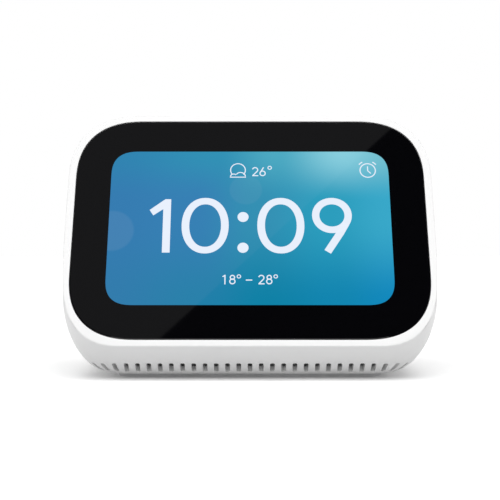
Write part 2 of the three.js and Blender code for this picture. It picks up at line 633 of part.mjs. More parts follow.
function mainBoard() {
  const { width, height, rise } = MAIN_BOARD;
  const outline = roundedOutline({ halfX: width / 2, halfY: height / 2, r: 2, y: rise, steps: 2 });
  const holes = boardPosts.map(({ x, y }) => circle(PILOT, x, y, 8));
  addPart("main_board", slab(outline, -BOARD_BACK, -BOARD_FRONT, holes), circuitGreen, face);
  boardPosts.forEach(({ x, y }, i) => {
    const headZ = -BOARD_BACK - SEAT_GAP;
    addPart(`board_screw_${i + 1}`, screw(headZ, 3.6, x, y), steel, face);
  });

  const chipFront = -BOARD_BACK - SEAT_GAP;
  const chip = (size, x, y) =>
    box(x - size / 2, x + size / 2, y - size / 2, y + size / 2, chipFront - 1.1, chipFront);
  addPart("processor_chip", chip(13, SHIELD.x, SHIELD.y), chipBlack, face);

  const half = SHIELD.size / 2;
  const canSides = [SHIELD.x - half, SHIELD.x + half, SHIELD.y - half, SHIELD.y + half];
  const thin = SHIELD.sheet;
  const inside = [canSides[0] + thin, canSides[1] - thin, canSides[2] + thin, canSides[3] - thin];
  const can = minus(boxSolid(...canSides, chipFront - SHIELD.height, chipFront), [
    boxSolid(...inside, chipFront - SHIELD.height + thin, chipFront + 1),
  ]);
  addPart("shield_can", geometryOf(can), steel, face);
  const plateFront = chipFront - SHIELD.height - SEAT_GAP;
  const plate = roundedOutline({
    halfX: SPREADER.width / 2,
    halfY: SPREADER.height / 2,
    r: 2,
    x: SHIELD.x,
    y: SHIELD.y,
    steps: 2,
  });
  addPart("heat_spreader", slab(plate, plateFront - SPREADER.sheet, plateFront), aluminium, face);

  // The display's ribbon: out of the panel's lower edge, round the tray and up to the main board.
  const edge = -LCD_HEIGHT / 2;
  const line = [
    [edge + 0.3, TRAY_FRONT + 0.7],
    [edge - 0.7, TRAY_FRONT + 0.9],
    [edge - 1.3, TRAY_FRONT + 2],
    [edge - 1.3, BRACKET_BACK - 0.5],
    [edge - 0.6, BRACKET_BACK + 1],
    [edge + 1.2, BRACKET_BACK + 1.6],
    [edge + 9, BRACKET_BACK + 1.6],
    [edge + 13.6, BOARD_FRONT - 0.35],
    [edge + 18, BOARD_FRONT - 0.25],
  ].map(([up, depth]) => [up, -depth]);
  const flex = ribbon(line, FLEX, 22).rotateZ(Math.PI / 2).rotateY(Math.PI / 2);
  addPart("lcd_flex", flex, flexAmber, face);
}

mainBoard();

// ---------------------------------------------------------------- buttons and microphones

function buttonBoard() {
  const { width, depth, x, y, top } = BUTTON_BOARD;
  const outline = roundedOutline({ halfX: width / 2, halfY: depth / 2, r: 1.5, x, y, steps: 2 });
  const holes = boardBosses.map((boss) => circle(PILOT, boss.x, boss.y, 8));
  addPart("button_board", slab(outline, top - SMALL_BOARD, top, holes), circuitGreen);
  boardBosses.forEach((boss, i) => {
    const headZ = top - SMALL_BOARD - SEAT_GAP;
    addPart(`button_board_screw_${i + 1}`, screw(headZ, 4.6, boss.x, boss.y), steel);
  });

  const plungerFoot = top + SWITCH.plunger;
  const micTop = top + SEAT_GAP + MIC.height;
  const names = { "-1": "down", 1: "up" };
  for (const side of [-1, 1]) {
    const bx = side * BUTTON.x;
    const switchBottom = top + SEAT_GAP;
    const { half, height } = SWITCH;
    const sides = [bx - half, bx + half, BUTTON.y - half, BUTTON.y + half];
    const wellFloor = plungerFoot - BUTTON.travel - SEAT_GAP;
    const well = rod(BUTTON_STEM + CLEAR, wellFloor, top + 2 * height, bx, BUTTON.y, 12);
    const body = boxSolid(...sides, switchBottom, switchBottom + height).subtract(well);
    addPart(`volume_${names[side]}_switch`, geometryOf(body), blackPlastic);

    const cap = pillOutline(BUTTON.length, BUTTON.width, bx, BUTTON.y);
    const collar = pillOutline(
      BUTTON.length + 2 * COLLAR_REACH,
      BUTTON.width + 2 * COLLAR_REACH,
      bx,
      BUTTON.y,
    );
    const collarBack = BUTTON.y + BUTTON.width / 2 + COLLAR_REACH;
    const collarTop = Math.min(CEILING - SEAT_GAP, ceilingAt(collarBack) - COLLAR_CLEAR);
    const button = joined([
      slabSolid(cap, collarTop - 0.2, TOP_Z + BUTTON.proud),
      slabSolid(collar, collarTop - BUTTON_FLANGE, collarTop),
      rod(BUTTON_STEM, plungerFoot, collarTop - BUTTON_FLANGE / 2, bx, BUTTON.y, 12),
    ]);
    addPart(`volume_${names[side]}_button`, geometryOf(button), whitePlastic);

    const hand = side < 0 ? "left" : "right";
    const mx = side * MIC_X;
    const micSides = [mx - MIC.width / 2, mx + MIC.width / 2];
    const micEnds = [BUTTON.y - MIC.depth / 2, BUTTON.y + MIC.depth / 2];
    const mic = box(...micSides, ...micEnds, switchBottom, micTop);
    addPart(`microphone_${hand}`, mic, steel);
  }
  const bootHoles = [-MIC_X, MIC_X].map((mx) => circle(MIC_HOLE, mx, BUTTON.y, 8));
  const boot = pillOutline(2 * MIC_X + MIC.depth, MIC.depth, 0, BUTTON.y);
  addPart("mic_gasket", slab(boot, micTop + SEAT_GAP, CEILING - SEAT_GAP, bootHoles), rubber);

  // Ribbon from the button board down to the main board's upper edge.
  const line = [
    [y + depth / 2 - 4, top - SMALL_BOARD - 0.25],
    [y + depth / 2 - 1, top - SMALL_BOARD - 0.5],
    [y + depth / 2 - 0.2, top - SMALL_BOARD - 2.4],
    [y + depth / 2 - 2, top - 7],
    [faceY(63, BOARD_BACK + 1.6), 63],
    [faceY(60.5, BOARD_BACK + 0.4), 60.5],
    [faceY(57, BOARD_BACK + 0.3), 57],
  ];
  const flex = ribbon(line, FLEX, 8).rotateX(Math.PI / 2).rotateZ(Math.PI / 2);
  addPart("button_flex", flex, flexAmber);
}

buttonBoard();

// ---------------------------------------------------------------- power socket and mute slider

function rearControls() {
  const { z, bore, pin, nose, body, length } = JACK;
  const jackFront = POWER_BOARD_FRONT + SMALL_BOARD + SEAT_GAP;
  const jackBack = jackFront + length;
  const half = body / 2;
  const barrel = pointBack(cylinder(nose, 0, 2.2, 0, 0, 20), REAR_X, jackBack - 0.2, z);
  const well = pointBack(cylinder(bore, 0, 20, 0, 0, 16), REAR_X, jackFront + 2, z);
  const sides = [REAR_X - half, REAR_X + half, jackFront, jackBack, z - half, z + half];
  const jack = boxSolid(...sides).add(solid(barrel)).subtract(solid(well));
  addPart("power_socket", geometryOf(jack), blackPlastic);
  const pinFoot = jackFront + 2 + SEAT_GAP;
  const pinRod = pointBack(cylinder(pin, 0, length - 2.6, 0, 0, 10), REAR_X, pinFoot, z);
  addPart("power_socket_pin", pinRod, steel);

  const boardHalf = POWER_BOARD.width / 2;
  const boardBottom = z - POWER_BOARD.below;
  const back = POWER_BOARD_FRONT + SMALL_BOARD;
  const boardSides = [REAR_X - boardHalf, REAR_X + boardHalf, POWER_BOARD_FRONT, back];
  const holes = powerBosses.map((boss) =>
    solid(pointBack(cylinder(PILOT, -1, 3, 0, 0, 8), boss.x, POWER_BOARD_FRONT, boss.z)),
  );
  const board = minus(boxSolid(...boardSides, boardBottom, boardBottom + POWER_BOARD.height), holes);
  addPart("power_board", geometryOf(board), circuitGreen);
  powerBosses.forEach((boss, i) => {
    const made = pointBack(screw(0, 6, 0, 0), boss.x, POWER_BOARD_FRONT - SEAT_GAP, boss.z);
    addPart(`power_board_screw_${i + 1}`, made, steel);
  });

  // The slider's flange lies against the shell's inner face at its upper edge.
  const wall = backAt(MUTE.z + 3, WALL);
  const switchFront = MUTE.board + SMALL_BOARD + SEAT_GAP;
  const flangeBack = wall - 0.15;
  const flangeFront = flangeBack - 0.6;
  const switchBack = flangeFront - 0.15;
  const startX = REAR_X - MUTE.travel / 2;
  const leverHalf = 1;
  const channel = boxSolid(
    startX - leverHalf - 0.2,
    startX + leverHalf + MUTE.travel + 0.2,
    switchFront + 0.6,
    switchBack + 1,
    MUTE.z - 1.2,
    MUTE.z + 1.2,
  );
  const switchSides = [REAR_X - 5, REAR_X + 5, switchFront, switchBack];
  const switchBody = boxSolid(...switchSides, MUTE.z - 2, MUTE.z + 2).subtract(channel);
  addPart("mute_switch", geometryOf(switchBody), steel);

  const lever = [startX - leverHalf, startX + leverHalf, switchFront + 0.8, flangeFront + 0.2];
  const knobX = [startX - MUTE.knob / 2, startX + MUTE.knob / 2];
  const flangeX = [knobX[0] - 1.6, knobX[1] + 1.6];
  const knobBack = backAt(MUTE.z) + MUTE.proud;
  const ridges = [-1.2, 0, 1.2].map((dx) =>
    boxSolid(startX + dx - 0.3, startX + dx + 0.3, knobBack, knobBack + 0.3, MUTE.z - 1.2, MUTE.z + 1.2),
  );
  const slider = joined([
    boxSolid(...lever, MUTE.z - 1, MUTE.z + 1),
    boxSolid(...flangeX, flangeFront, flangeBack, MUTE.z - 2.6, MUTE.z + 2.6),
    boxSolid(...knobX, flangeFront, knobBack + 0.05, MUTE.z - MUTE.height / 2, MUTE.z + MUTE.height / 2),
    ...ridges,
  ]);
  addPart("mute_slider", geometryOf(slider), greyPlastic);

  const muteSides = [REAR_X - 11.5, REAR_X + 11.5, MUTE.board, MUTE.board + SMALL_BOARD];
  const muteHoles = muteBosses.map((boss) =>
    solid(pointBack(cylinder(PILOT, -1, 3, 0, 0, 8), boss.x, MUTE.board, boss.z)),
  );
  const muteBoard = minus(boxSolid(...muteSides, MUTE.z - 4, MUTE.z + 4), muteHoles);
  addPart("mute_board", geometryOf(muteBoard), circuitGreen);

  // Lead from the power board to the back of the main board.
  const lead = swept(
    circle(LEAD_RADIUS.power, 0, 0, 6),
    [
      [REAR_X - 6, POWER_BOARD_FRONT - 1.2, JACK.z - 2],
      [REAR_X - 6, POWER_BOARD_FRONT - 4, JACK.z + 1],
      [REAR_X - 5, 8, 24],
      [REAR_X - 3, faceY(34, BOARD_BACK + 4), 34],
      [REAR_X - 3, faceY(42, BOARD_BACK + 1.2), 42],
    ],
    12,
  );
  addPart("power_lead", lead, cableBlack);
}

rearControls();

// ---------------------------------------------------------------- speaker

const SIDES = 24; // of the driver's round pieces
const lugScrewX = [
  SPEAKER_BOX.left - BOX_LUG.reach + 0.4,
  SPEAKER_BOX.right + BOX_LUG.reach - 0.4,
];

function speaker() {
  const { x, y, flange, cone, magnet, travel } = SPEAKER;
  const { left, right, back, bottom, top, wall } = SPEAKER_BOX;
  const profile = (inset) => {
    const depth = BOX_FRONT_DEPTH + inset;
    return [
      new THREE.Vector2(faceY(bottom + inset, depth), bottom + inset),
      new THREE.Vector2(back - inset, bottom + inset),
      new THREE.Vector2(back - inset, top - inset),
      new THREE.Vector2(faceY(top - inset, depth), top - inset),
    ];
  };
  // Prisms drawn in the (y, z) plane and run along x.
  const prism = (inset) =>
    solid(
      slab(profile(inset), left + inset, right - inset).rotateX(Math.PI / 2).rotateZ(Math.PI / 2),
    );
  const mouth = magnet + 4.4;
  const screwX = flange + 0.8 - SCREW.head;
  const lugs = [left - BOX_LUG.reach, right + BOX_LUG.reach].map((end) => {
    const from = Math.min(end, end < x ? left + 0.5 : right - 0.5) - (end < x ? 1.8 : 0);
    const to = Math.max(end, end < x ? left + 0.5 : right - 0.5) + (end < x ? 0 : 1.8);
    return boxSolid(from, to, BOX_LUG.y - 3, BOX_LUG.y + 3, bottom, bottom + BOX_LUG.sheet);
  });
  const bosses = [-1, 1].map((side) => rod(1.9, bottom + 1, bottom + 5, x + side * screwX, y, 10));
  const enclosure = minus(joined([prism(0).subtract(prism(wall)), ...lugs, ...bosses]), [
    rod(mouth, bottom - 1, bottom + wall + 1, x, y, SIDES),
    ...[-1, 1].map((side) => rod(PILOT, bottom - 1, bottom + 4.4, x + side * screwX, y, 8)),
    ...lugScrewX.map((lx) => rod(PILOT, bottom - 1, bottom + 4, lx, BOX_LUG.y, 8)),
  ]);
  addPart("speaker_box", geometryOf(enclosure), blackPlastic);
  lugScrewX.forEach((lx, i) => {
    const made = screw(0, 6.4, 0, 0).rotateX(Math.PI);
    made.translate(lx, BOX_LUG.y, bottom + BOX_LUG.sheet + SEAT_GAP);
    addPart(`speaker_box_screw_${i + 1}`, made, steel);
  });

  const gasketTop = bottom - SEAT_GAP;
  const frameTop = gasketTop - 0.8 - SEAT_GAP;
  const frameBottom = frameTop - 1.2;
  const plateOutline = (grow) =>
    roundedOutline({
      halfX: flange + 1 + grow,
      halfY: flange - 1.2 + grow,
      r: 9 + grow,
      x,
      y,
      steps: 4,
    });
  const screwHoles = [-1, 1].map((side) => circle(PILOT, x + side * screwX, y, 8));
  const ring = circle(mouth, x, y, SIDES);
  const gasket = slab(plateOutline(-0.2), gasketTop - 0.8, gasketTop, [ring, ...screwHoles]);
  addPart("speaker_gasket", gasket, foam);

  // Pressed steel frame: a flange with a funnel that holds the magnet.
  const magnetBottom = bottom + 9;
  const funnel = turned(
    [
      [mouth - 1, frameBottom],
      [mouth + 1, frameBottom],
      [mouth + 1, frameTop],
      [mouth - 0.4, frameTop],
      [mouth - 0.6, bottom + 3.2],
      [magnet, magnetBottom - SEAT_GAP],
      [magnet - 4.4, magnetBottom - SEAT_GAP],
      [magnet - 4.4, magnetBottom - 0.9],
      [magnet - 0.6, magnetBottom - 0.9],
      [mouth - 1.6, bottom + 2.6],
      [mouth - 1.4, frameTop - 0.4],
      [mouth - 1, frameBottom],
    ],
    SIDES,
    x,
    y,
  );
  const opening = circle(mouth - 0.2, x, y, SIDES);
  const flangePlate = slabSolid(plateOutline(0), frameBottom, frameTop, [opening]);
  const flangeHoles = [-1, 1].map((side) =>
    rod(PILOT, frameBottom - 1, gasketTop, x + side * screwX, y, 8),
  );
  addPart("speaker_frame", geometryOf(minus(flangePlate.add(solid(funnel)), flangeHoles)), steel);
  [-1, 1].forEach((side, i) => {
    const made = screw(frameBottom - SEAT_GAP, 5.2, x + side * screwX, y);
    addPart(`speaker_screw_${i + 1}`, made, steel);
  });

  const coil = 5.5;
  const gapInner = coil - 0.9;
  const gapOuter = coil + 0.8;
  const magnetTop = magnetBottom + 8.4;
  addPart(
    "speaker_magnet",
    turned(
      [
        [0, magnetBottom],
        [gapInner, magnetBottom],
        [gapInner, magnetTop - 1.6],
        [gapOuter, magnetTop - 1.6],
        [gapOuter, magnetBottom],
        [magnet, magnetBottom],
        [magnet, magnetTop],
        [0, magnetTop],
      ],
      SIDES,
      x,
      y,
    ),
    magnetGrey,
  );

  // Moving parts of the driver, clear of the fixed ones over the whole travel.
  const coneRim = frameBottom + 0.5;
  const coneNeck = bottom + 5;
  const sheet = 0.5;
  addPart(
    "speaker_cone",
    turned(
      [
        [cone, coneRim],
        [cone, coneRim + sheet],
        [coil + 0.7, coneNeck + sheet],
        [coil + 0.1, coneNeck + sheet],
        [coil + 0.1, coneNeck],
        [cone - 0.9, coneRim],
        [cone, coneRim],
      ],
      28,
      x,
      y,
    ),
    paperCone,
  );
  addPart(
    "voice_coil",
    turned(
      [
        [coil - 0.3, coneNeck - 0.4],
        [coil, coneNeck - 0.4],
        [coil, magnetTop - 1.6 - travel - 0.6],
        [coil - 0.3, magnetTop - 1.6 - travel - 0.6],
        [coil - 0.3, coneNeck - 0.4],
      ],
      20,
      x,
      y,
    ),
    copper,
  );
  const capTip = coneNeck - 4.2;
  const cap = [[0, capTip]];
  for (let i = 1; i <= 4; i++) {
    const a = (i / 4) * (Math.PI / 2);
    cap.push([(coil + 1.1) * Math.sin(a), capTip + 2 * (1 - Math.cos(a))]);
  }
  cap.push([coil + 0.6, capTip + 2.4], [0, capTip + 1]);
  addPart("speaker_dust_cap", turned(cap, 20, x, y), paperCone);

  // Rubber roll between the cone and the frame.
  const roll = [];
  const rollMiddle = (cone + mouth - 1.3) / 2;
  const rollHalf = (mouth - 1.3 - cone) / 2 - 0.15;
  for (const [r, from, to] of [
    [rollHalf, 0, Math.PI],
    [rollHalf - 0.4, Math.PI, 0],
  ])
    for (let i = 0; i <= 4; i++) {
      const a = from + ((to - from) * i) / 4;
      roll.push([rollMiddle - r * Math.cos(a), coneRim - 0.15 - r * 0.8 * Math.sin(a)]);
    }
  roll.push(roll[0]);
  addPart("speaker_surround", turned(roll, SIDES, x, y), rubber);

  const lead = swept(
    circle(LEAD_RADIUS.speaker, 0, 0, 6),
    [
      [right + 1, 12, 30],
      [right + 4, 10, 33],
      [right + 6, 6, 38],
      [right + 6, faceY(43, BOARD_BACK + 3), 43],
      [right + 5, faceY(48, BOARD_BACK + 1), 48],
    ],
    10,
  );
  addPart("speaker_lead", lead, cableBlack);
}

speaker();

// ---------------------------------------------------------------- base

function base() {
  const screwPlaces = [];
  for (const side of [-1, 1])
    for (const y of [BASE_POST.front, BASE_POST.back]) screwPlaces.push([side * BASE_POST.x, y]);
  const seatFloor = STAND_OFF + FOOT_SEAT;
  const posts = [
    ...screwPlaces.map(([x, y]) => rod(BASE_POST.r, FLOOR_TOP - 0.5, BOSS_BOTTOM - SEAT_GAP, x, y)),
    ...lugScrewX.map((x) => rod(2.3, FLOOR_TOP - 0.5, SPEAKER_BOX.bottom - SEAT_GAP, x, BOX_LUG.y)),
  ];
  const plate = slabSolid(baseOutline(0), STAND_OFF, FLOOR_TOP).add(joined(posts));
  const headRoom = SCREW.headHeight + SEAT_GAP;
  const headFloor = seatFloor + headRoom + SEAT_GAP;
  const cover = minus(plate, [
    slabSolid(baseOutline(-FOOT_MARGIN), STAND_OFF - 1, seatFloor),
    ...screwPlaces.map(([x, y]) => rod(PILOT, STAND_OFF, BOSS_BOTTOM + 1, x, y, 8)),
    ...screwPlaces.map(([x, y]) => rod(SCREW.head + CLEAR, STAND_OFF, headFloor, x, y, 12)),
    ...lugScrewX.map((x) => rod(PILOT, FLOOR_TOP + 2, SPEAKER_BOX.bottom + 1, x, BOX_LUG.y, 8)),
  ]);
  addPart("base_cover", geometryOf(cover), greyPlastic);
  screwPlaces.forEach(([x, y], i) => {
    addPart(`base_screw_${i + 1}`, screw(seatFloor + headRoom, 9, x, y), steel);
  });
  addPart("rubber_foot", slab(baseOutline(-FOOT_MARGIN - CLEAR / 2), 0, seatFloor - SEAT_GAP), rubber);

  // Woven band that keeps dust out of the slots, just inside the shell.
  const meshBottom = FLOOR_TOP + 1.1;
  const meshTop = meshBottom + 3.8;
  const band = [0, 1, 2].map((i) => meshBottom + ((meshTop - meshBottom) * i) / 2);
  const wide = solid(stack(band, WALL + CLEAR, CORNER_STEPS));
  const narrowHeights = [meshBottom - 0.5, ...band.slice(1, 2), meshTop + 0.5];
  const narrow = solid(stack(narrowHeights, WALL + CLEAR + 0.7, CORNER_STEPS));
  addPart("dust_mesh", geometryOf(wide.subtract(narrow)), foam);
}

base();

export default assembly;
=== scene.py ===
import json
import math

import bmesh
import bpy
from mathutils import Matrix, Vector
from mathutils.geometry import tessellate_polygon


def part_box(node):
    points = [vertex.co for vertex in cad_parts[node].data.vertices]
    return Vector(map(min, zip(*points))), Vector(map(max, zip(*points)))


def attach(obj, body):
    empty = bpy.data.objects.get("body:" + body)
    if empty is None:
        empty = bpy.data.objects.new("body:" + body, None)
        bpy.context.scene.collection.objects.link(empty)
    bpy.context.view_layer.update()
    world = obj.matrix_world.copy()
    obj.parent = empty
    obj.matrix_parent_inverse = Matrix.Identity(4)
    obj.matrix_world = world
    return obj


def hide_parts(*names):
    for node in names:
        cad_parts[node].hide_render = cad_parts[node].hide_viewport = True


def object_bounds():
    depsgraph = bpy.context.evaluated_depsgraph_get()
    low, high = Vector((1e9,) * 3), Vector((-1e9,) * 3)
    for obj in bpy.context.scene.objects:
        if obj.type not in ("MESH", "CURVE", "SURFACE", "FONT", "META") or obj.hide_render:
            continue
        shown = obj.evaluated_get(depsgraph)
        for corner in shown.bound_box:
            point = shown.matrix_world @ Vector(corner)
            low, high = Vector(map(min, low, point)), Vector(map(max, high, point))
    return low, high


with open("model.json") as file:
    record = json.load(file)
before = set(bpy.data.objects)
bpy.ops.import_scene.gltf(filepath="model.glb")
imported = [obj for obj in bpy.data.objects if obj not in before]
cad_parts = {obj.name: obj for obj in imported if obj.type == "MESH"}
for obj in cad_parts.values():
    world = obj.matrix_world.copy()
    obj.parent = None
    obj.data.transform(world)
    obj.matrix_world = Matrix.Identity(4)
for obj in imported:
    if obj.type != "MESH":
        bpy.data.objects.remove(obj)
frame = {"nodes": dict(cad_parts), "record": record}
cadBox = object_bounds()
print("frame loaded,", len(frame["nodes"]), "nodes")

mm = 0.001
caseBody = "case"

# ------------------------------------------------ camera, light and table

camera = {
    "lens": 82,
    "sensor": 36,
    "height": 38.5,  # level with this height on the display
    "distance": 331.8,  # ahead of the shell's front lip
}
light = {
    "skyAmbient": 0.36,
    "keyStrength": 2.42,
    "keyTilt": 28,  # degrees from overhead, towards the front
    "keySpread": 70,
    "sideStrength": 0.66,
    "sideHeight": 18,
    "sideSpread": 60,
    "tableColour": (0.93, 0.93, 0.93),
    "tableBounce": (0.52, 0.52, 0.52),  # what the table gives back to the display
    "tableLift": 0.1,
    "tableSize": 6000,
}


def setView():
    view = bpy.context.scene.view_settings
    view.view_transform = "Standard"
    view.look = "None"


def makeCamera():
    lens = bpy.data.cameras.new("camera")
    lens.lens = camera["lens"]
    lens.sensor_width = camera["sensor"]
    eye = bpy.data.objects.new("camera", lens)
    eye.location = Vector((0, cadBox[0].y - camera["distance"] * mm, camera["height"] * mm))
    eye.rotation_euler = (math.radians(90), 0, 0)
    bpy.context.scene.collection.objects.link(eye)
    bpy.context.scene.camera = eye
    return eye


def addSun(name, strength, spread, azimuth, height):
    # azimuth 0 shines from the front, 90 from the right
    sun = bpy.data.lights.new(name, "SUN")
    sun.energy = strength
    sun.angle = math.radians(spread)
    lamp = bpy.data.objects.new(name, sun)
    a, e = math.radians(azimuth), math.radians(height)
    towards = Vector((math.sin(a) * math.cos(e), -math.cos(a) * math.cos(e), math.sin(e)))
    lamp.rotation_euler = towards.to_track_quat("Z", "Y").to_euler()
    lamp.visible_glossy = False
    bpy.context.scene.collection.objects.link(lamp)
    return lamp


def makeWorld():
    world = bpy.data.worlds.new("studio")
    bpy.context.scene.world = world
    world.use_nodes = True
    nodes, links = world.node_tree.nodes, world.node_tree.links
    nodes.clear()
    out = nodes.new("ShaderNodeOutputWorld")
    ambient = nodes.new("ShaderNodeBackground")
    ambient.inputs["Strength"].default_value = light["skyAmbient"]
    ambient.inputs["Color"].default_value = (1, 1, 1, 1)
    paper = nodes.new("ShaderNodeBackground")
    paper.inputs["Color"].default_value = (1, 1, 1, 1)
    seen = nodes.new("ShaderNodeLightPath")
    mix = nodes.new("ShaderNodeMixShader")
    links.new(seen.outputs["Is Camera Ray"], mix.inputs["Fac"])
    links.new(ambient.outputs[0], mix.inputs[1])
    links.new(paper.outputs[0], mix.inputs[2])
    links.new(mix.outputs[0], out.inputs["Surface"])
    world.cycles_visibility.glossy = False


# ------------------------------------------------ finishes


def makeFinish(name, colour, roughness, metallic=0.0, specular=0.5):
    finish = bpy.data.materials.new(name)
    finish.use_nodes = True
    shader = finish.node_tree.nodes["Principled BSDF"]
    shader.inputs["Base Color"].default_value = (*colour, 1)
    shader.inputs["Roughness"].default_value = roughness
    shader.inputs["Metallic"].default_value = metallic
    shader.inputs["Specular IOR Level"].default_value = specular
    return finish


def shaderOf(finish):
    return finish.node_tree.nodes["Principled BSDF"]


def node(finish, kind, **settings):
    made = finish.node_tree.nodes.new(kind)
    for key, value in settings.items():
        setattr(made, key, value)
    return made


def wire(finish, source, target):
    finish.node_tree.links.new(source, target)


def objectNoise(finish, featureSize, detail=3.0, stretch=(1, 1, 1)):
    # noise whose features are about featureSize millimetres across
    place = node(finish, "ShaderNodeTexCoord")
    mapping = node(finish, "ShaderNodeMapping")
    mapping.inputs["Scale"].default_value = stretch
    noise = node(finish, "ShaderNodeTexNoise")
    noise.inputs["Scale"].default_value = 1 / (featureSize * mm)
    noise.inputs["Detail"].default_value = detail
    wire(finish, place.outputs["Object"], mapping.inputs["Vector"])
    wire(finish, mapping.outputs["Vector"], noise.inputs["Vector"])
    return noise


def addGrain(finish, featureSize, depth, strength=0.3, stretch=(1, 1, 1)):
    # a moulded or brushed surface: fine bumps, depth in millimetres
    noise = objectNoise(finish, featureSize, 2.0, stretch)
    bump = node(finish, "ShaderNodeBump")
    bump.inputs["Strength"].default_value = strength
    bump.inputs["Distance"].default_value = depth * mm
    wire(finish, noise.outputs["Fac"], bump.inputs["Height"])
    wire(finish, bump.outputs["Normal"], shaderOf(finish).inputs["Normal"])
    return noise


def varyColour(finish, featureSize, first, second):
    # drifts slowly between two close colours
    noise = objectNoise(finish, featureSize)
    ramp = node(finish, "ShaderNodeValToRGB")
    ramp.color_ramp.elements[0].position = 0.35
    ramp.color_ramp.elements[0].color = (*first, 1)
    ramp.color_ramp.elements[1].position = 0.65
    ramp.color_ramp.elements[1].color = (*second, 1)
    wire(finish, noise.outputs["Fac"], ramp.inputs["Fac"])
    wire(finish, ramp.outputs["Color"], shaderOf(finish).inputs["Base Color"])


def varyRoughness(finish, featureSize, low, high):
    noise = objectNoise(finish, featureSize)
    span = node(finish, "ShaderNodeMapRange")
    span.inputs["To Min"].default_value = low
    span.inputs["To Max"].default_value = high
    wire(finish, noise.outputs["Fac"], span.inputs["Value"])
    wire(finish, span.outputs["Result"], shaderOf(finish).inputs["Roughness"])


def whitePlastic():
    finish = makeFinish("whitePlastic", (0.86, 0.86, 0.86), 0.42, specular=0.4)
    varyColour(finish, 30, (0.855, 0.855, 0.856), (0.868, 0.868, 0.867))
    varyRoughness(finish, 12, 0.38, 0.46)
    addGrain(finish, 0.12, 0.004, 0.12)
    return finish


def greyPlastic():
    finish = makeFinish("greyPlastic", (0.5, 0.51, 0.52), 0.6)
    varyColour(finish, 9, (0.49, 0.5, 0.51), (0.53, 0.54, 0.55))
    addGrain(finish, 0.25, 0.02, 0.4)
    return finish


def blackPlastic():
    finish = makeFinish("blackPlastic", (0.02, 0.02, 0.022), 0.55)
    varyColour(finish, 6, (0.018, 0.018, 0.02), (0.028, 0.028, 0.03))
    addGrain(finish, 0.2, 0.02, 0.5)
    return finish


def blackGlass():
    finish = makeFinish("blackGlass", (0.0016, 0.0016, 0.0022), 0.02, specular=0.5)
    varyRoughness(finish, 20, 0.015, 0.03)
    return finish


def footRubber():
    finish = makeFinish("footRubber", (0.78, 0.78, 0.79), 0.8, specular=0.3)
    varyColour(finish, 4, (0.75, 0.75, 0.76), (0.81, 0.81, 0.82))
    addGrain(finish, 0.3, 0.05, 0.6)
    return finish


def whiteInk():
    finish = makeFinish("whiteInk", (0.0, 0.0, 0.0), 0.02)
    shader = shaderOf(finish)
    shader.inputs["Emission Color"].default_value = (0.81, 0.87, 0.975, 1)
    shader.inputs["Emission Strength"].default_value = 1
    return finish


screenSky = {
    # colours along the top, middle and foot of the picture, from left to right
    "top": [(0.0, "2a82b0"), (0.38, "2b8fb4"), (0.6, "49a8c1"), (0.84, "86cddd"), (1.0, "74bfcf")],
    "middle": [(0.0, "307ab0"), (0.3, "317eb3"), (0.52, "2e8eb2"), (0.78, "2c9dbd"), (1.0, "39a8c9")],
    "foot": [(0.0, "2c7aab"), (0.33, "217fa9"), (0.55, "1081a6"), (0.8, "1285b0"), (1.0, "1288bc")],
}


def linear(code):
    # a web colour as linear light
    parts = [int(code[i : i + 2], 16) / 255 for i in (0, 2, 4)]
    return [p / 12.92 if p <= 0.04045 else ((p + 0.055) / 1.055) ** 2.4 for p in parts]


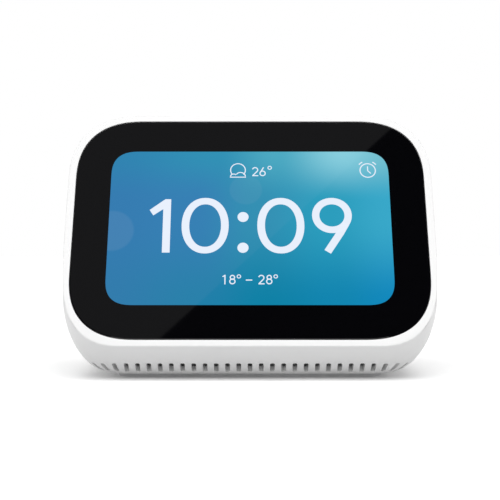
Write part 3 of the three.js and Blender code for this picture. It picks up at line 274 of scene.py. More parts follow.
def screenPicture():
    finish = makeFinish("screenPicture", (0.0, 0.0, 0.0), 0.02)
    uv = node(finish, "ShaderNodeUVMap", uv_map="picture")
    split = node(finish, "ShaderNodeSeparateXYZ")
    wire(finish, uv.outputs["UV"], split.inputs["Vector"])
    rows = []
    for name in ("foot", "middle", "top"):
        ramp = node(finish, "ShaderNodeValToRGB")
        ramp.color_ramp.interpolation = "EASE"
        stops = ramp.color_ramp.elements
        while len(stops) < len(screenSky[name]):
            stops.new(0.5)
        for stop, (position, code) in zip(stops, screenSky[name]):
            stop.position = position
            stop.color = (*linear(code), 1)
        wire(finish, split.outputs["X"], ramp.inputs["Fac"])
        rows.append(ramp)
    colour = rows[0].outputs["Color"]
    for i, (low, high) in enumerate(((0.0, 0.55), (0.66, 1.0))):
        span = node(finish, "ShaderNodeMapRange")
        span.interpolation_type = "SMOOTHSTEP"
        span.inputs["From Min"].default_value = low
        span.inputs["From Max"].default_value = high
        wire(finish, split.outputs["Y"], span.inputs["Value"])
        mix = node(finish, "ShaderNodeMix", data_type="RGBA")
        wire(finish, span.outputs["Result"], mix.inputs["Factor"])
        wire(finish, colour, mix.inputs["A"])
        wire(finish, rows[i + 1].outputs["Color"], mix.inputs["B"])
        colour = mix.outputs["Result"]
    for centre, radius, gain in (((0.012, 0.47), 0.08, 0.04), ((0.485, 0.74), 0.06, 0.025)):
        # pale discs, out of focus
        offset = node(finish, "ShaderNodeVectorMath", operation="SUBTRACT")
        offset.inputs[1].default_value = (*centre, 0)
        squash = node(finish, "ShaderNodeVectorMath", operation="MULTIPLY")
        squash.inputs[1].default_value = (1, screenSize["height"] / screenSize["width"], 0)
        length = node(finish, "ShaderNodeVectorMath", operation="LENGTH")
        disc = node(finish, "ShaderNodeMapRange")
        disc.interpolation_type = "SMOOTHSTEP"
        disc.inputs["From Min"].default_value = radius * 1.04
        disc.inputs["From Max"].default_value = radius * 0.9
        disc.inputs["To Max"].default_value = gain
        mix = node(finish, "ShaderNodeMix", data_type="RGBA")
        wire(finish, uv.outputs["UV"], offset.inputs[0])
        wire(finish, offset.outputs[0], squash.inputs[0])
        wire(finish, squash.outputs[0], length.inputs[0])
        wire(finish, length.outputs["Value"], disc.inputs["Value"])
        wire(finish, disc.outputs["Result"], mix.inputs["Factor"])
        wire(finish, colour, mix.inputs["A"])
        mix.inputs["B"].default_value = (0.6, 0.75, 0.85, 1)
        colour = mix.outputs["Result"]
    wire(finish, colour, shaderOf(finish).inputs["Emission Color"])
    shaderOf(finish).inputs["Emission Strength"].default_value = 1
    return finish


# ------------------------------------------------ sizes of the display, in millimetres

houseLow, houseHigh = (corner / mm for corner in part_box("housing"))
glassLow, glassHigh = (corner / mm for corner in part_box("cover_glass"))

shell = {
    "tilt": math.radians(24.3),
    "lip": 10.5,  # height of the face's lower edge
    "bottom": houseLow.z,
    "top": houseHigh.z,
    "half": houseHigh.x,
    "frontY": -houseHigh.y,
    "backY": houseHigh.y,
    "wall": 2.0,
    "skirtSpread": 15.0,
    "skirtRise": 24.0,
    "topFlatEnd": 12.0,
    "backCurve": 1.7,
    "frontCorner": 18.0,
    "backCorner": 26.0,
    "cornerCurve": 2.5,
    "cornerShrink": 0.7,
    "backTaper": 0.05,
    "rim": 2.05,
    "edgeRound": 0.3,
}
glass = {
    "half": glassHigh.x,
    "halfHeight": 36.75,
    "corner": 21.0,
    "curve": 2.5,
    "depth": 1.6,
    "sunk": 0.1,  # behind the rim's front
    "edge": 0.3,
    "clear": 0.15,
}
screenSize = {"width": 86.4, "height": 51.84, "corner": 9.0, "curve": 2.8}

cosTilt = math.cos(shell["tilt"])
sinTilt = math.sin(shell["tilt"])
faceHeight = 2 * (glass["halfHeight"] + shell["rim"])
faceCorner = glass["corner"] + shell["rim"]
skirtTop = shell["bottom"] + shell["skirtRise"]
faceCentre = Vector(
    (0, shell["frontY"] + faceHeight / 2 * sinTilt, shell["lip"] + faceHeight / 2 * cosTilt)
)
acrossFace = Vector((1, 0, 0))
upFace = Vector((0, sinTilt, cosTilt))
outOfFace = Vector((0, -cosTilt, sinTilt))


def onFace(x, y, depth=0.0):
    # x across and y up the tilted face from its middle, depth behind it
    return faceCentre + acrossFace * x + upFace * y - outOfFace * depth


# ------------------------------------------------ mesh helpers


def makePiece(name, points, faces, finish=None, inMillimetres=True):
    mesh = bpy.data.meshes.new(name)
    scale = mm if inMillimetres else 1
    mesh.from_pydata([Vector(p) * scale for p in points], [], faces)
    mesh.validate()
    piece = bpy.data.objects.new(name, mesh)
    bpy.context.scene.collection.objects.link(piece)
    if finish:
        mesh.materials.append(finish)
    return piece


def joinPieces(name, pieces):
    # one object from several, their meshes joined
    bm = bmesh.new()
    for piece in pieces:
        bm.from_mesh(piece.data)
        bpy.data.objects.remove(piece)
    mesh = bpy.data.meshes.new(name)
    bm.to_mesh(mesh)
    bm.free()
    joined = bpy.data.objects.new(name, mesh)
    bpy.context.scene.collection.objects.link(joined)
    return joined


def bake(piece):
    # the piece with its modifiers made real
    graph = bpy.context.evaluated_depsgraph_get()
    mesh = bpy.data.meshes.new_from_object(piece.evaluated_get(graph), depsgraph=graph)
    old = piece.data
    piece.modifiers.clear()
    piece.data = mesh
    mesh.name = piece.name
    bpy.data.meshes.remove(old)
    return piece


def combine(piece, other, operation):
    cut = piece.modifiers.new(operation.lower(), "BOOLEAN")
    cut.object = other
    cut.operation = operation
    cut.solver = "EXACT"
    bpy.context.view_layer.update()
    bake(piece)
    bpy.data.objects.remove(other)
    return piece


def softenShading(piece, sharpest=32.0):
    # smooth everywhere but across edges that bend more than this many degrees
    bm = bmesh.new()
    bm.from_mesh(piece.data)
    bmesh.ops.remove_doubles(bm, verts=bm.verts, dist=0.00000002)
    limit = math.radians(sharpest)
    for face in bm.faces:
        face.smooth = True
    for edge in bm.edges:
        edge.smooth = len(edge.link_faces) == 2 and edge.calc_face_angle(0) < limit
    bm.to_mesh(piece.data)
    bm.free()
    return piece


def roundedLoop(halfX, halfY, radius, curve=2.0, steps=12, centre=(0, 0)):
    # anticlockwise; curve 2 makes circular corners, more makes them squarer
    loop = []
    for corner in range(4):
        signX = 1 if corner in (0, 3) else -1
        signY = 1 if corner < 2 else -1
        for i in range(steps + 1):
            a = (corner + i / steps) * math.pi / 2
            reachX = abs(math.cos(a)) ** (2 / curve)
            reachY = abs(math.sin(a)) ** (2 / curve)
            x = signX * (halfX - radius + radius * reachX)
            y = signY * (halfY - radius + radius * reachY)
            loop.append((centre[0] + x, centre[1] + y))
    return loop


def circleLoop(radius, centre=(0, 0), steps=32):
    turn = [2 * math.pi * i / steps for i in range(steps)]
    return [(centre[0] + radius * math.cos(a), centre[1] + radius * math.sin(a)) for a in turn]


def stackLoops(loops, closeEnds=True):
    # loops of equal length skinned one to the next, ends closed
    count = len(loops[0])
    points = [p for loop in loops for p in loop]
    faces = []
    for k in range(len(loops) - 1):
        for i in range(count):
            j = (i + 1) % count
            a, b = k * count, (k + 1) * count
            faces.append((a + i, a + j, b + j, b + i))
    if closeEnds:
        faces.append(tuple(reversed(range(count))))
        faces.append(tuple(range((len(loops) - 1) * count, len(points))))
    return points, faces


def prismOnFace(name, loop, nearDepth, farDepth):
    # an outline on the face as a solid between two depths behind it
    ends = [[onFace(x, y, depth) for x, y in loop] for depth in (farDepth, nearDepth)]
    return makePiece(name, *stackLoops(ends))


def prismUp(name, loop, low, high):
    return makePiece(name, *stackLoops([[(x, y, z) for x, y in loop] for z in (low, high)]))


def prismBack(name, loop, nearY, farY):
    # an outline in x and z as a solid that runs back
    ends = [[(x, y, z) for x, z in loop] for y in (farY, nearY)]
    return makePiece(name, *stackLoops(ends))


def layered(name, loops, finish):
    piece = makePiece(name, *stackLoops(loops), finish)
    return softenShading(piece)


# ------------------------------------------------ the shell's form


def quarterInset(below, spread, rise):
    share = min(1, max(0, below / rise))
    return spread * (1 - math.sqrt(1 - share * share))


blankFront = shell["frontY"] - quarterInset(
    skirtTop - shell["lip"], shell["skirtSpread"], shell["skirtRise"]
)


def shellLevel(z, inset=0.0):
    # front, back and side lines of the shell at a height, drawn in by inset
    skirt = quarterInset(skirtTop - z, shell["skirtSpread"] - inset, shell["skirtRise"] - inset)
    cornerRise = faceCorner * cosTilt
    intoCorner = (z - shell["top"] + cornerRise) / (cornerRise - inset)
    corner = min(1, max(0, intoCorner)) ** glass["curve"]
    shoulder = (faceCorner - inset) * (1 - (1 - corner) ** (1 / glass["curve"]))
    climb = min(1, max(0, (z - skirtTop) / (shell["top"] - inset - skirtTop)))
    reach = shell["backY"] - shell["topFlatEnd"]
    lean = reach * (1 - math.sqrt(1 - climb ** shell["backCurve"]))
    shrink = shell["cornerShrink"]
    return {
        "z": z,
        "half": shell["half"] - inset - skirt - shoulder,
        "front": blankFront + inset + skirt,
        "back": shell["backY"] - inset - skirt - lean,
        "frontCorner": shell["frontCorner"] - inset - shrink * max(skirt, shoulder),
        "backCorner": shell["backCorner"] - inset - shrink * max(skirt, shoulder, lean),
    }


def shellLoop(level, cornerSteps, alongX, alongY):
    # plan outline, anticlockwise from the right, with points along its straights too
    arcs = []
    power = 2 / shell["cornerCurve"]
    for corner in range(4):
        signX = 1 if corner in (0, 3) else -1
        atBack = corner < 2
        r = level["backCorner"] if atBack else level["frontCorner"]
        arc = []
        for i in range(cornerSteps + 1):
            a = (corner + i / cornerSteps) * math.pi / 2
            x = signX * (level["half"] - r + r * abs(math.cos(a)) ** power)
            reach = r * abs(math.sin(a)) ** power
            y = level["back"] - r + reach if atBack else level["front"] + r - reach
            arc.append((x, y))
        arcs.append(arc)
    loop = []
    for corner, arc in enumerate(arcs):
        loop += arc
        (ax, ay), (bx, by) = arc[-1], arcs[(corner + 1) % 4][0]
        count = alongX if corner in (0, 2) else alongY
        for i in range(1, count):
            t = i / count
            loop.append((ax + (bx - ax) * t, ay + (by - ay) * t))
    taper = shell["backTaper"]
    return [
        (x * (1 - taper * (max(0, y) / shell["backY"]) ** 2), y, level["z"]) for x, y in loop
    ]


def skinHeights(inset, skirtSteps, upperSteps):
    rise = shell["skirtRise"] - inset
    heights = [
        skirtTop - rise * math.cos(math.pi / 2 * i / skirtSteps) for i in range(skirtSteps)
    ]
    for i in range(upperSteps + 1):
        reach = shell["top"] - inset - skirtTop
        heights.append(skirtTop + reach * math.sin(math.pi / 2 * i / upperSteps))
    return heights


def faceCutBlank(name, inset, depth, skirtSteps, upperSteps, steps, rounded=0.0):
    # the whole form, closed, less what stands ahead of a plane parallel to the face
    heights = skinHeights(inset, skirtSteps, upperSteps)
    loops = [shellLoop(shellLevel(z, inset), *steps) for z in heights]
    blank = makePiece(name, *stackLoops(loops))
    bm = bmesh.new()
    bm.from_mesh(blank.data)
    plane = onFace(0, 0, depth) * mm
    geometry = bm.verts[:] + bm.edges[:] + bm.faces[:]
    bmesh.ops.bisect_plane(
        bm, geom=geometry, plane_co=plane, plane_no=outOfFace, clear_outer=True, dist=1e-7
    )
    rimEdges = [e for e in bm.edges if e.is_boundary]
    bmesh.ops.dissolve_degenerate(bm, edges=rimEdges, dist=0.00006)
    rimEdges = [e for e in bm.edges if e.is_boundary]
    bmesh.ops.contextual_create(bm, geom=rimEdges)
    if rounded:
        bmesh.ops.bevel(
            bm, geom=rimEdges, offset=rounded * mm, segments=3, profile=0.5, affect="EDGES"
        )
    bmesh.ops.recalc_face_normals(bm, faces=bm.faces)
    bm.to_mesh(blank.data)
    bm.free()
    return blank


# ------------------------------------------------ slots round the skirt, by geometry nodes

slots = {
    "width": 1.4,
    "length": 4.6,
    "pitch": 3.33,
    "height": 3.55,
    "slope": math.radians(52),
    "inside": 3.4,
    "outside": 2.0,
}


def newTree(name, sizes):
    tree = bpy.data.node_groups.new(name, "GeometryNodeTree")
    tree.interface.new_socket("Geometry", in_out="INPUT", socket_type="NodeSocketGeometry")
    sockets = {}
    for label, kind in sizes.items():
        sockets[label] = tree.interface.new_socket(label, in_out="INPUT", socket_type=kind).identifier
    tree.interface.new_socket("Geometry", in_out="OUTPUT", socket_type="NodeSocketGeometry")
    return tree, sockets


def step(tree, kind, inputs=None, **settings):
    made = tree.nodes.new(kind)
    for key, value in settings.items():
        setattr(made, key, value)
    for key, value in (inputs or {}).items():
        if isinstance(value, bpy.types.NodeSocket):
            tree.links.new(value, made.inputs[key])
        else:
            made.inputs[key].default_value = value
    return made


def slotTree():
    tree, sockets = newTree(
        "slotRow",
        {
            "Count": "NodeSocketInt",
            "Slot width": "NodeSocketFloat",
            "Slot length": "NodeSocketFloat",
            "Depth": "NodeSocketFloat",
            "Inside": "NodeSocketFloat",
            "Lean": "NodeSocketFloat",
            "Finish": "NodeSocketMaterial",
        },
    )
    given = step(tree, "NodeGroupInput").outputs
    outline = step(
        tree,
        "GeometryNodeCurvePrimitiveQuadrilateral",
        {"Width": given["Slot width"], "Height": given["Slot length"]},
    )
    corner = step(tree, "ShaderNodeMath", {0: given["Slot width"], 1: 0.36}, operation="MULTIPLY")
    rounded = step(
        tree,
        "GeometryNodeFilletCurve",
        {"Curve": outline.outputs[0], "Radius": corner.outputs[0], "Count": 5},
        mode="POLY",
    )
    flat = step(tree, "GeometryNodeFillCurve", {"Curve": rounded.outputs[0]}, mode="NGONS")
    upwards = step(tree, "ShaderNodeCombineXYZ", {"Z": 1.0})
    pulled = step(
        tree,
        "GeometryNodeExtrudeMesh",
        {"Mesh": flat.outputs[0], "Offset": upwards.outputs[0], "Offset Scale": given["Depth"]},
        mode="FACES",
    )
    underside = step(tree, "GeometryNodeFlipFaces", {"Mesh": flat.outputs[0]})
    ends = step(tree, "GeometryNodeJoinGeometry")
    tree.links.new(pulled.outputs["Mesh"], ends.inputs[0])
    tree.links.new(underside.outputs[0], ends.inputs[0])
    closed = step(
        tree, "GeometryNodeMergeByDistance", {"Geometry": ends.outputs[0], "Distance": 0.000001}
    )
    below = step(tree, "ShaderNodeMath", {0: given["Inside"], 1: -1.0}, operation="MULTIPLY")
    drop = step(tree, "ShaderNodeCombineXYZ", {"Z": below.outputs[0]})
    cutter = step(
        tree, "GeometryNodeTransform", {"Geometry": closed.outputs[0], "Translation": drop.outputs[0]}
    )
    line = step(tree, "GeometryNodeMeshToCurve", {"Mesh": given["Geometry"]})
    spaced = step(
        tree, "GeometryNodeResampleCurve", {"Curve": line.outputs[0], "Count": given["Count"]}
    )
    spots = step(tree, "GeometryNodeCurveToPoints", {"Curve": spaced.outputs[0]}, mode="EVALUATED")
    along = step(
        tree,
        "FunctionNodeAlignRotationToVector",
        {"Vector": spots.outputs["Tangent"]},
        axis="X",
        pivot_axis="Z",
    )
    leaning = step(tree, "ShaderNodeCombineXYZ", {"X": given["Lean"]})
    turned = step(
        tree,
        "FunctionNodeRotateRotation",
        {"Rotation": along.outputs[0], "Rotate By": leaning.outputs[0]},
        rotation_space="LOCAL",
    )
    row = step(
        tree,
        "GeometryNodeInstanceOnPoints",
        {"Points": spots.outputs["Points"], "Instance": cutter.outputs[0], "Rotation": turned.outputs[0]},
    )
    real = step(tree, "GeometryNodeRealizeInstances", {"Geometry": row.outputs[0]})
    coated = step(
        tree, "GeometryNodeSetMaterial", {"Geometry": real.outputs[0], "Material": given["Finish"]}
    )
    out = step(tree, "NodeGroupOutput")
    tree.links.new(coated.outputs[0], out.inputs[0])
    return tree, sockets


def slotCutters(finish):
    # a closed line round the skirt, from its front middle, carries the cutters
    loop = shellLoop(shellLevel(slots["height"]), 40, 40, 20)
    start = min(range(len(loop)), key=lambda i: (loop[i][1] > 0, abs(loop[i][0])))
    loop = loop[start:] + loop[:start]
    count = len(loop)
    around = sum((Vector(loop[(i + 1) % count]) - Vector(loop[i])).length for i in range(count))
    row = makePiece("slotCutters", loop, [])
    row.data.clear_geometry()
    edges = [(i, (i + 1) % count) for i in range(count)]
    row.data.from_pydata([Vector(p) * mm for p in loop], edges, [])
    tree, sockets = slotTree()
    maker = row.modifiers.new("slotRow", "NODES")
    maker.node_group = tree
    maker[sockets["Count"]] = round(around / slots["pitch"])
    maker[sockets["Slot width"]] = slots["width"] * mm
    maker[sockets["Slot length"]] = slots["length"] * mm
    maker[sockets["Depth"]] = (slots["inside"] + slots["outside"]) * mm
    maker[sockets["Inside"]] = slots["inside"] * mm
    maker[sockets["Lean"]] = math.pi / 2 + slots["slope"]
    maker[sockets["Finish"]] = finish
    return bake(row)


# ------------------------------------------------ the white shell

ports = {
    "buttonX": 20.0,
    "buttonY": 7.0,
    "buttonLength": 15.0,
    "buttonWidth": 5.0,
    "gap": 0.15,
    "micX": 5.2,
    "micRadius": 0.6,
    "rearX": 27.0,
    "jackZ": 18.0,
    "jackRadius": 4.5,
    "sliderZ": 38.0,
    "sliderHalf": 3.9,
    "sliderHigh": 1.9,
    "baseEdge": 0.5,
    "baseCorner": 6.5,
}


def baseLoop(grow, steps=12):
    half = shell["half"] - shell["skirtSpread"] - ports["baseEdge"]
    front = blankFront + shell["skirtSpread"] + ports["baseEdge"]
    back = shell["backY"] - shell["skirtSpread"] - ports["baseEdge"]
    return roundedLoop(
        half + grow,
        (back - front) / 2 + grow,
        ports["baseCorner"] + grow,
        steps=steps,
        centre=(0, (front + back) / 2),
    )


def glassLoop(grow=0.0, steps=28):
    return roundedLoop(
        glass["half"] + grow,
        glass["halfHeight"] + grow,
        glass["corner"] + grow,
        glass["curve"],
        steps,
    )


boss = {"pilot": 1.0, "base": 3.0, "board": 2.2, "power": 2.0, "mute": 1.9, "bracket": 2.4}
boss |= {"rib": 0.8, "baseFoot": 9.0, "baseHeight": 7.0, "stake": 0.8, "into": 0.7, "gap": 0.1}


def boxOf(cadNode):
    return [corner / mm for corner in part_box(cadNode)]


def standingBosses():
    # over the base screws, ribbed to the side walls, and over the button board's screws
    solids, pilots = [], []
    foot = boss["baseFoot"]
    for i in range(4):
        low, high = boxOf(f"base_screw_{i + 1}")
        x, y = (low.x + high.x) / 2, (low.y + high.y) / 2
        wallX = math.copysign(shellLevel(foot, shell["wall"] / 2)["half"], x)
        post = circleLoop(boss["base"], (x, y))
        solids.append(prismUp("post", post, foot, foot + boss["baseHeight"]))
        rib = roundedLoop(
            abs(wallX - x) / 2, boss["rib"], 0.1, steps=2, centre=((x + wallX) / 2, y)
        )
        solids.append(prismUp("rib", rib, foot, foot + boss["baseHeight"] - 2))
        pilots.append(prismUp("pilot", circleLoop(boss["pilot"], (x, y), 20), foot - 1, high.z + 0.6))
    boardTop = boxOf("button_board")[1].z + boss["gap"]
    for i in range(2):
        low, high = boxOf(f"button_board_screw_{i + 1}")
        centre = ((low.x + high.x) / 2, (low.y + high.y) / 2)
        post = circleLoop(boss["board"], centre)
        solids.append(prismUp("post", post, boardTop, shell["top"] - shell["wall"] + 0.5))
        pilots.append(prismUp("pilot", circleLoop(boss["pilot"], centre, 20), boardTop - 1, high.z + 0.1))
    return solids, pilots


def rearBosses():
    # run from the two rear boards back into the wall
    solids, pilots = [], []

    def post(radius, x, z, front):
        wall = shellLevel(z, shell["wall"])["back"] + boss["into"]
        return prismBack("post", circleLoop(radius, (x, z)), front, wall)

    boardBack = boxOf("power_board")[1].y
    for i in range(2):
        low, high = boxOf(f"power_board_screw_{i + 1}")
        x, z = (low.x + high.x) / 2, (low.z + high.z) / 2
        solids.append(post(boss["power"], x, z, boardBack + boss["gap"]))
        hole = circleLoop(boss["pilot"], (x, z), 20)
        pilots.append(prismBack("pilot", hole, boardBack, high.y + 0.6))
    low, high = boxOf("mute_board")
    for side in (-1, 1):
        x = (low.x + high.x) / 2 + side * 9
        solids.append(post(boss["mute"], x, ports["sliderZ"], high.y + boss["gap"]))
        solids.append(post(boss["stake"], x, ports["sliderZ"], low.y - 0.8))
    return solids, pilots


def bracketBosses():
    # behind the face's ledge, under the display bracket's corners
    solids, pilots = [], []
    for i in range(4):
        low, high = boxOf(f"bracket_screw_{i + 1}")
        middle = (low + high) / 2 - faceCentre
        centre = (middle.x, middle.dot(upFace))
        solids.append(prismOnFace("post", circleLoop(boss["bracket"], centre), 3.7, 6.5))
        pilots.append(prismOnFace("pilot", circleLoop(boss["pilot"], centre, 20), 3.8, 8))
    return solids, pilots


def makeShell(finish):
    body = faceCutBlank("whiteShell", 0, 0, 26, 46, (20, 30, 10), shell["edgeRound"])
    hollow = faceCutBlank("hollow", shell["wall"], 4.2, 14, 20, (10, 8, 4))
    combine(body, hollow, "DIFFERENCE")
    cutters = [slotCutters(finish)]
    for makeBosses in (standingBosses, rearBosses, bracketBosses):
        solids, pilots = makeBosses()
        for post in solids:
            combine(body, post, "UNION")
        cutters += pilots
    cutters.append(prismOnFace("glassSeat", glassLoop(glass["clear"]), -5, 2.2))
    cutters.append(prismUp("baseOpening", baseLoop(0.3), 0, shell["bottom"] + 3))
    for side in (-1, 1):
        pill = roundedLoop(
            ports["buttonLength"] / 2 + ports["gap"],
            ports["buttonWidth"] / 2 + ports["gap"],
            ports["buttonWidth"] / 2 + ports["gap"] - 0.01,
            centre=(side * ports["buttonX"], ports["buttonY"]),
        )
        cutters.append(prismUp("buttonHole", pill, shell["top"] - 3, shell["top"] + 1))
        hole = circleLoop(ports["micRadius"], (side * ports["micX"], ports["buttonY"]), 24)
        cutters.append(prismUp("micHole", hole, shell["top"] - 3, shell["top"] + 1))
    socket = circleLoop(ports["jackRadius"], (ports["rearX"], ports["jackZ"]), 48)
    cutters.append(prismBack("socketHole", socket, 26, 40))
    window = roundedLoop(
        ports["sliderHalf"], ports["sliderHigh"], 0.5, steps=6, centre=(ports["rearX"], ports["sliderZ"])
    )
    cutters.append(prismBack("sliderWindow", window, 26, 40))
    combine(body, joinPieces("cutters", cutters), "DIFFERENCE")
    opening = roundedLoop(49.3, 29.8, 1.8, steps=6)
    combine(body, prismOnFace("screenOpening", opening, 1, 6), "DIFFERENCE")
    notch = roundedLoop(15, 16, 0.5, steps=3, centre=(0, -15.8))
    combine(body, prismOnFace("ribbonNotch", notch, 1, 5.2), "DIFFERENCE")
    body.data.materials.clear()
    body.data.materials.append(finish)
    for face in body.data.polygons:
        face.material_index = 0
    softenShading(body)
    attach(body, caseBody)
    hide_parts("housing")
    return body


# ------------------------------------------------ glass and picture


def makeGlass(finish, pictureFinish):
    # front face with a window that the lit picture fills, flush
    depth, edge = glass["sunk"], glass["edge"]
    levels = [
        (glass["depth"] + depth, 0.0),
        (depth + edge, 0.0),
        (depth + edge * 0.3, -edge * 0.3),
        (depth, -edge),
    ]
    outer = [[onFace(x, y, d) for x, y in glassLoop(grow)] for d, grow in levels]
    points, faces = stackLoops(outer, closeEnds=False)
    count = len(outer[0])
    faces.append(tuple(reversed(range(count))))
    steps = count // 4 - 1
    window = roundedLoop(
        screenSize["width"] / 2,
        screenSize["height"] / 2,
        screenSize["corner"],
        screenSize["curve"],
        steps,
    )
    start = len(points)
    points += [onFace(x, y, depth) for x, y in window]
    last = start - count
    for i in range(count):
        j = (i + 1) % count
        faces.append((last + i, last + j, start + j, start + i))
    ring = len(faces)
    faces.append(tuple(range(start, start + count)))
    cover = makePiece("coverGlass", points, faces, finish)
    cover.data.materials.append(pictureFinish)
    cover.data.polygons[ring].material_index = 1
    uv = cover.data.uv_layers.new(name="picture")
    for loop in cover.data.loops:
        point = cover.data.vertices[loop.vertex_index].co / mm - faceCentre
        u = point.x / screenSize["width"] + 0.5
        v = point.dot(upFace) / screenSize["height"] + 0.5
        uv.data[loop.index].uv = (u, v)
    softenShading(cover, 12)
    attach(cover, caseBody)
    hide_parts("cover_glass")
    return cover


# ------------------------------------------------ figures and icons on the picture


def strokeOutline(line, width, closed=False):
    # the two sides of a line drawn with a flat-ended pen
    count = len(line)
    left, right = [], []
    for i, (x, y) in enumerate(line):
        before = line[i - 1] if closed or i else line[0]
        after = line[(i + 1) % count] if closed or i < count - 1 else line[-1]
        dx, dy = after[0] - before[0], after[1] - before[1]
        length = math.hypot(dx, dy)
        nx, ny = -dy / length * width / 2, dx / length * width / 2
        left.append((x + nx, y + ny))
        right.append((x - nx, y - ny))
    return [left, right] if closed else [left + right[::-1]]


def arc(cx, cy, rx, ry, start, end, steps=28, curve=2.0):
    # degrees, anticlockwise from the right
    points = []
    for i in range(steps + 1):
        a = math.radians(start + (end - start) * i / steps)
        c, s = math.cos(a), math.sin(a)
        x = cx + rx * math.copysign(abs(c) ** (2 / curve), c)
        points.append((x, cy + ry * math.copysign(abs(s) ** (2 / curve), s)))
    return points


def oval(cx, cy, rx, ry, steps=56, curve=2.0):
    return arc(cx, cy, rx, ry, 0, 360, steps, curve)[:-1]


def inkPiece(name, shapes, finish, depth):
    # flat figures from outlines, the holes of each after its edge
    points, faces = [], []
    for outlines in shapes:
        start = len(points)
        flat = [Vector((x, y, 0)) for outline in outlines for x, y in outline]
        points += [onFace(p.x, p.y, depth) for p in flat]
        rings = [[Vector((x, y, 0)) for x, y in outline] for outline in outlines]
        for triangle in tessellate_polygon(rings):
            a, b, c = (flat[i] for i in triangle)
            if (b - a).cross(c - a).z < 0:
                triangle = tuple(reversed(triangle))
            faces.append(tuple(start + i for i in triangle))
    piece = makePiece(name, points, faces, finish)
    bm = bmesh.new()
    bm.from_mesh(piece.data)
    bmesh.ops.remove_doubles(bm, verts=bm.verts, dist=0.0000001)
    bm.to_mesh(piece.data)
    bm.free()
    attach(piece, caseBody)
    return piece


clock = {
    "top": 9.6,
    "foot": -9.2,
    "ink": 0.06,  # depth behind the rim's front
}


def clockZero(cx):
    mid = (clock["top"] + clock["foot"]) / 2
    high = (clock["top"] - clock["foot"]) / 2
    wide = 7.2
    return [oval(cx, mid, wide, high, curve=2.12), oval(cx, mid, wide - 2.36, high - 2.22, curve=2.12)]


def clockOne():
    return [
        [
            (-24.3, clock["foot"] + 0.3),
            (-24.3, clock["top"] - 0.45),
            (-26.1, clock["top"] - 0.45),
            (-30.85, 5.45),
            (-29.65, 3.6),
            (-26.66, 5.75),
            (-26.66, clock["foot"] + 0.3),
        ]
    ]


def clockNine():
    bowl = [oval(25.12, 3.6, 6.1, 6.0, curve=2.03), oval(25.12, 3.6, 3.85, 3.78, curve=2.03)]
    tail = strokeOutline([(29.3, 0.9), (27.6, -2.2), (23.5, -8.65)], 2.3)
    return [bowl, tail]


def makeClock(finish):
    shapes = [clockOne(), clockZero(-13.7), clockZero(9.42)]
    shapes += clockNine()
    for y in (3.05, -7.3):
        shapes.append([oval(-2.13, y, 1.7, 1.7, 32)])
    return inkPiece("clockFigures", shapes, finish, clock["ink"])


def smallFigure(kind, x, foot, high, pen):
    # a small figure drawn with a thin pen, x at its left side
    wide = high * 0.62
    cx, r = x + wide / 2, wide / 2
    if kind == "1":
        line = [(x + wide * 0.2, foot + high * 0.8), (cx + pen * 0.4, foot + high - pen / 2)]
        stem = [(cx + pen * 0.4, foot + high), (cx + pen * 0.4, foot)]
        return [strokeOutline(line, pen), strokeOutline(stem, pen)]
    if kind == "2":
        hook = arc(cx, foot + high - r, r - pen / 2, r - pen / 2, 165, -38, 20)
        base = foot + pen / 2
        return [
            strokeOutline(hook + [(x + pen * 0.6, base)], pen),
            strokeOutline([(x + pen * 0.3, base), (x + wide, base)], pen),
        ]
    if kind == "8":
        small = r * 0.86
        upper = foot + high - small
        lower = foot + r
        return [
            strokeOutline(oval(cx, upper, small - pen / 2, small - pen / 2, 24), pen, True),
            strokeOutline(oval(cx, lower, r - pen / 2, r - pen / 2, 24), pen, True),
        ]
    if kind == "6":
        bowl = strokeOutline(oval(cx, foot + r, r - pen / 2, r - pen / 2, 28), pen, True)
        tail = [(x + pen * 0.75, foot + r * 1.25), (cx + r * 0.3, foot + high - pen * 0.3)]
        return [bowl, strokeOutline(tail, pen)]
    if kind == "o":
        small = high * 0.17
        return [strokeOutline(oval(x + small, foot + high - small, small, small, 20), pen * 0.8, True)]
    return [strokeOutline([(x, foot + high * 0.45), (x + wide, foot + high * 0.45)], pen)]


def writeFigures(text, x, foot, high, pen, gap):
    shapes = []
    for kind in text:
        if kind != " ":
            shapes += smallFigure(kind, x, foot, high, pen)
        x += high * 0.62 + gap if kind in "12468-" else high * 0.42
    return shapes


def makeWeather(finish):
    # a sun behind two hills, with the temperature beside it
    pen = 0.32
    shapes = [strokeOutline(arc(-3.75, 19.3, 2.3, 2.3, -42, 222, 40), pen)]
    shapes.append(strokeOutline(arc(-2.95, 17.1, 1.5, 1.4, 0, 150, 20), pen))
    shapes.append(strokeOutline(arc(-5.1, 17.1, 0.95, 0.85, 40, 180, 16), pen))
    shapes.append(strokeOutline([(-6.25, 16.85), (-1.25, 16.85)], pen))
    shapes += writeFigures("26", 0.6, 17.2, 3.2, pen * 1.1, 0.35)
    shapes.append(strokeOutline(oval(6.15, 20.15, 0.55, 0.55, 20), pen * 0.9, True))
    return inkPiece("weatherSign", shapes, finish, clock["ink"])


def makeAlarm(finish):
    pen = 0.34
    cx, cy, r = 36.75, 19.2, 2.4
    shapes = [strokeOutline(oval(cx, cy, r, r, 40), pen, True)]
    for side in (-1, 1):
        ear = arc(cx, cy, r + 0.95, r + 0.95, 90 + side * 28, 90 + side * 52, 8)
        shapes.append(strokeOutline(ear, pen))
    hands = [(cx, cy + 1.45), (cx, cy - 0.1), (cx + 0.95, cy - 1.05)]
    shapes.append(strokeOutline(hands, pen))
    return inkPiece("alarmSign", shapes, finish, clock["ink"])


def makeForecast(finish):
    # lowest and highest temperature of the day
    shapes = writeFigures("18o - 28o", -8.6, -19.3, 3.1, 0.36, 0.45)
    return inkPiece("forecastFigures", shapes, finish, clock["ink"])


# ------------------------------------------------ foot, buttons, slider, socket


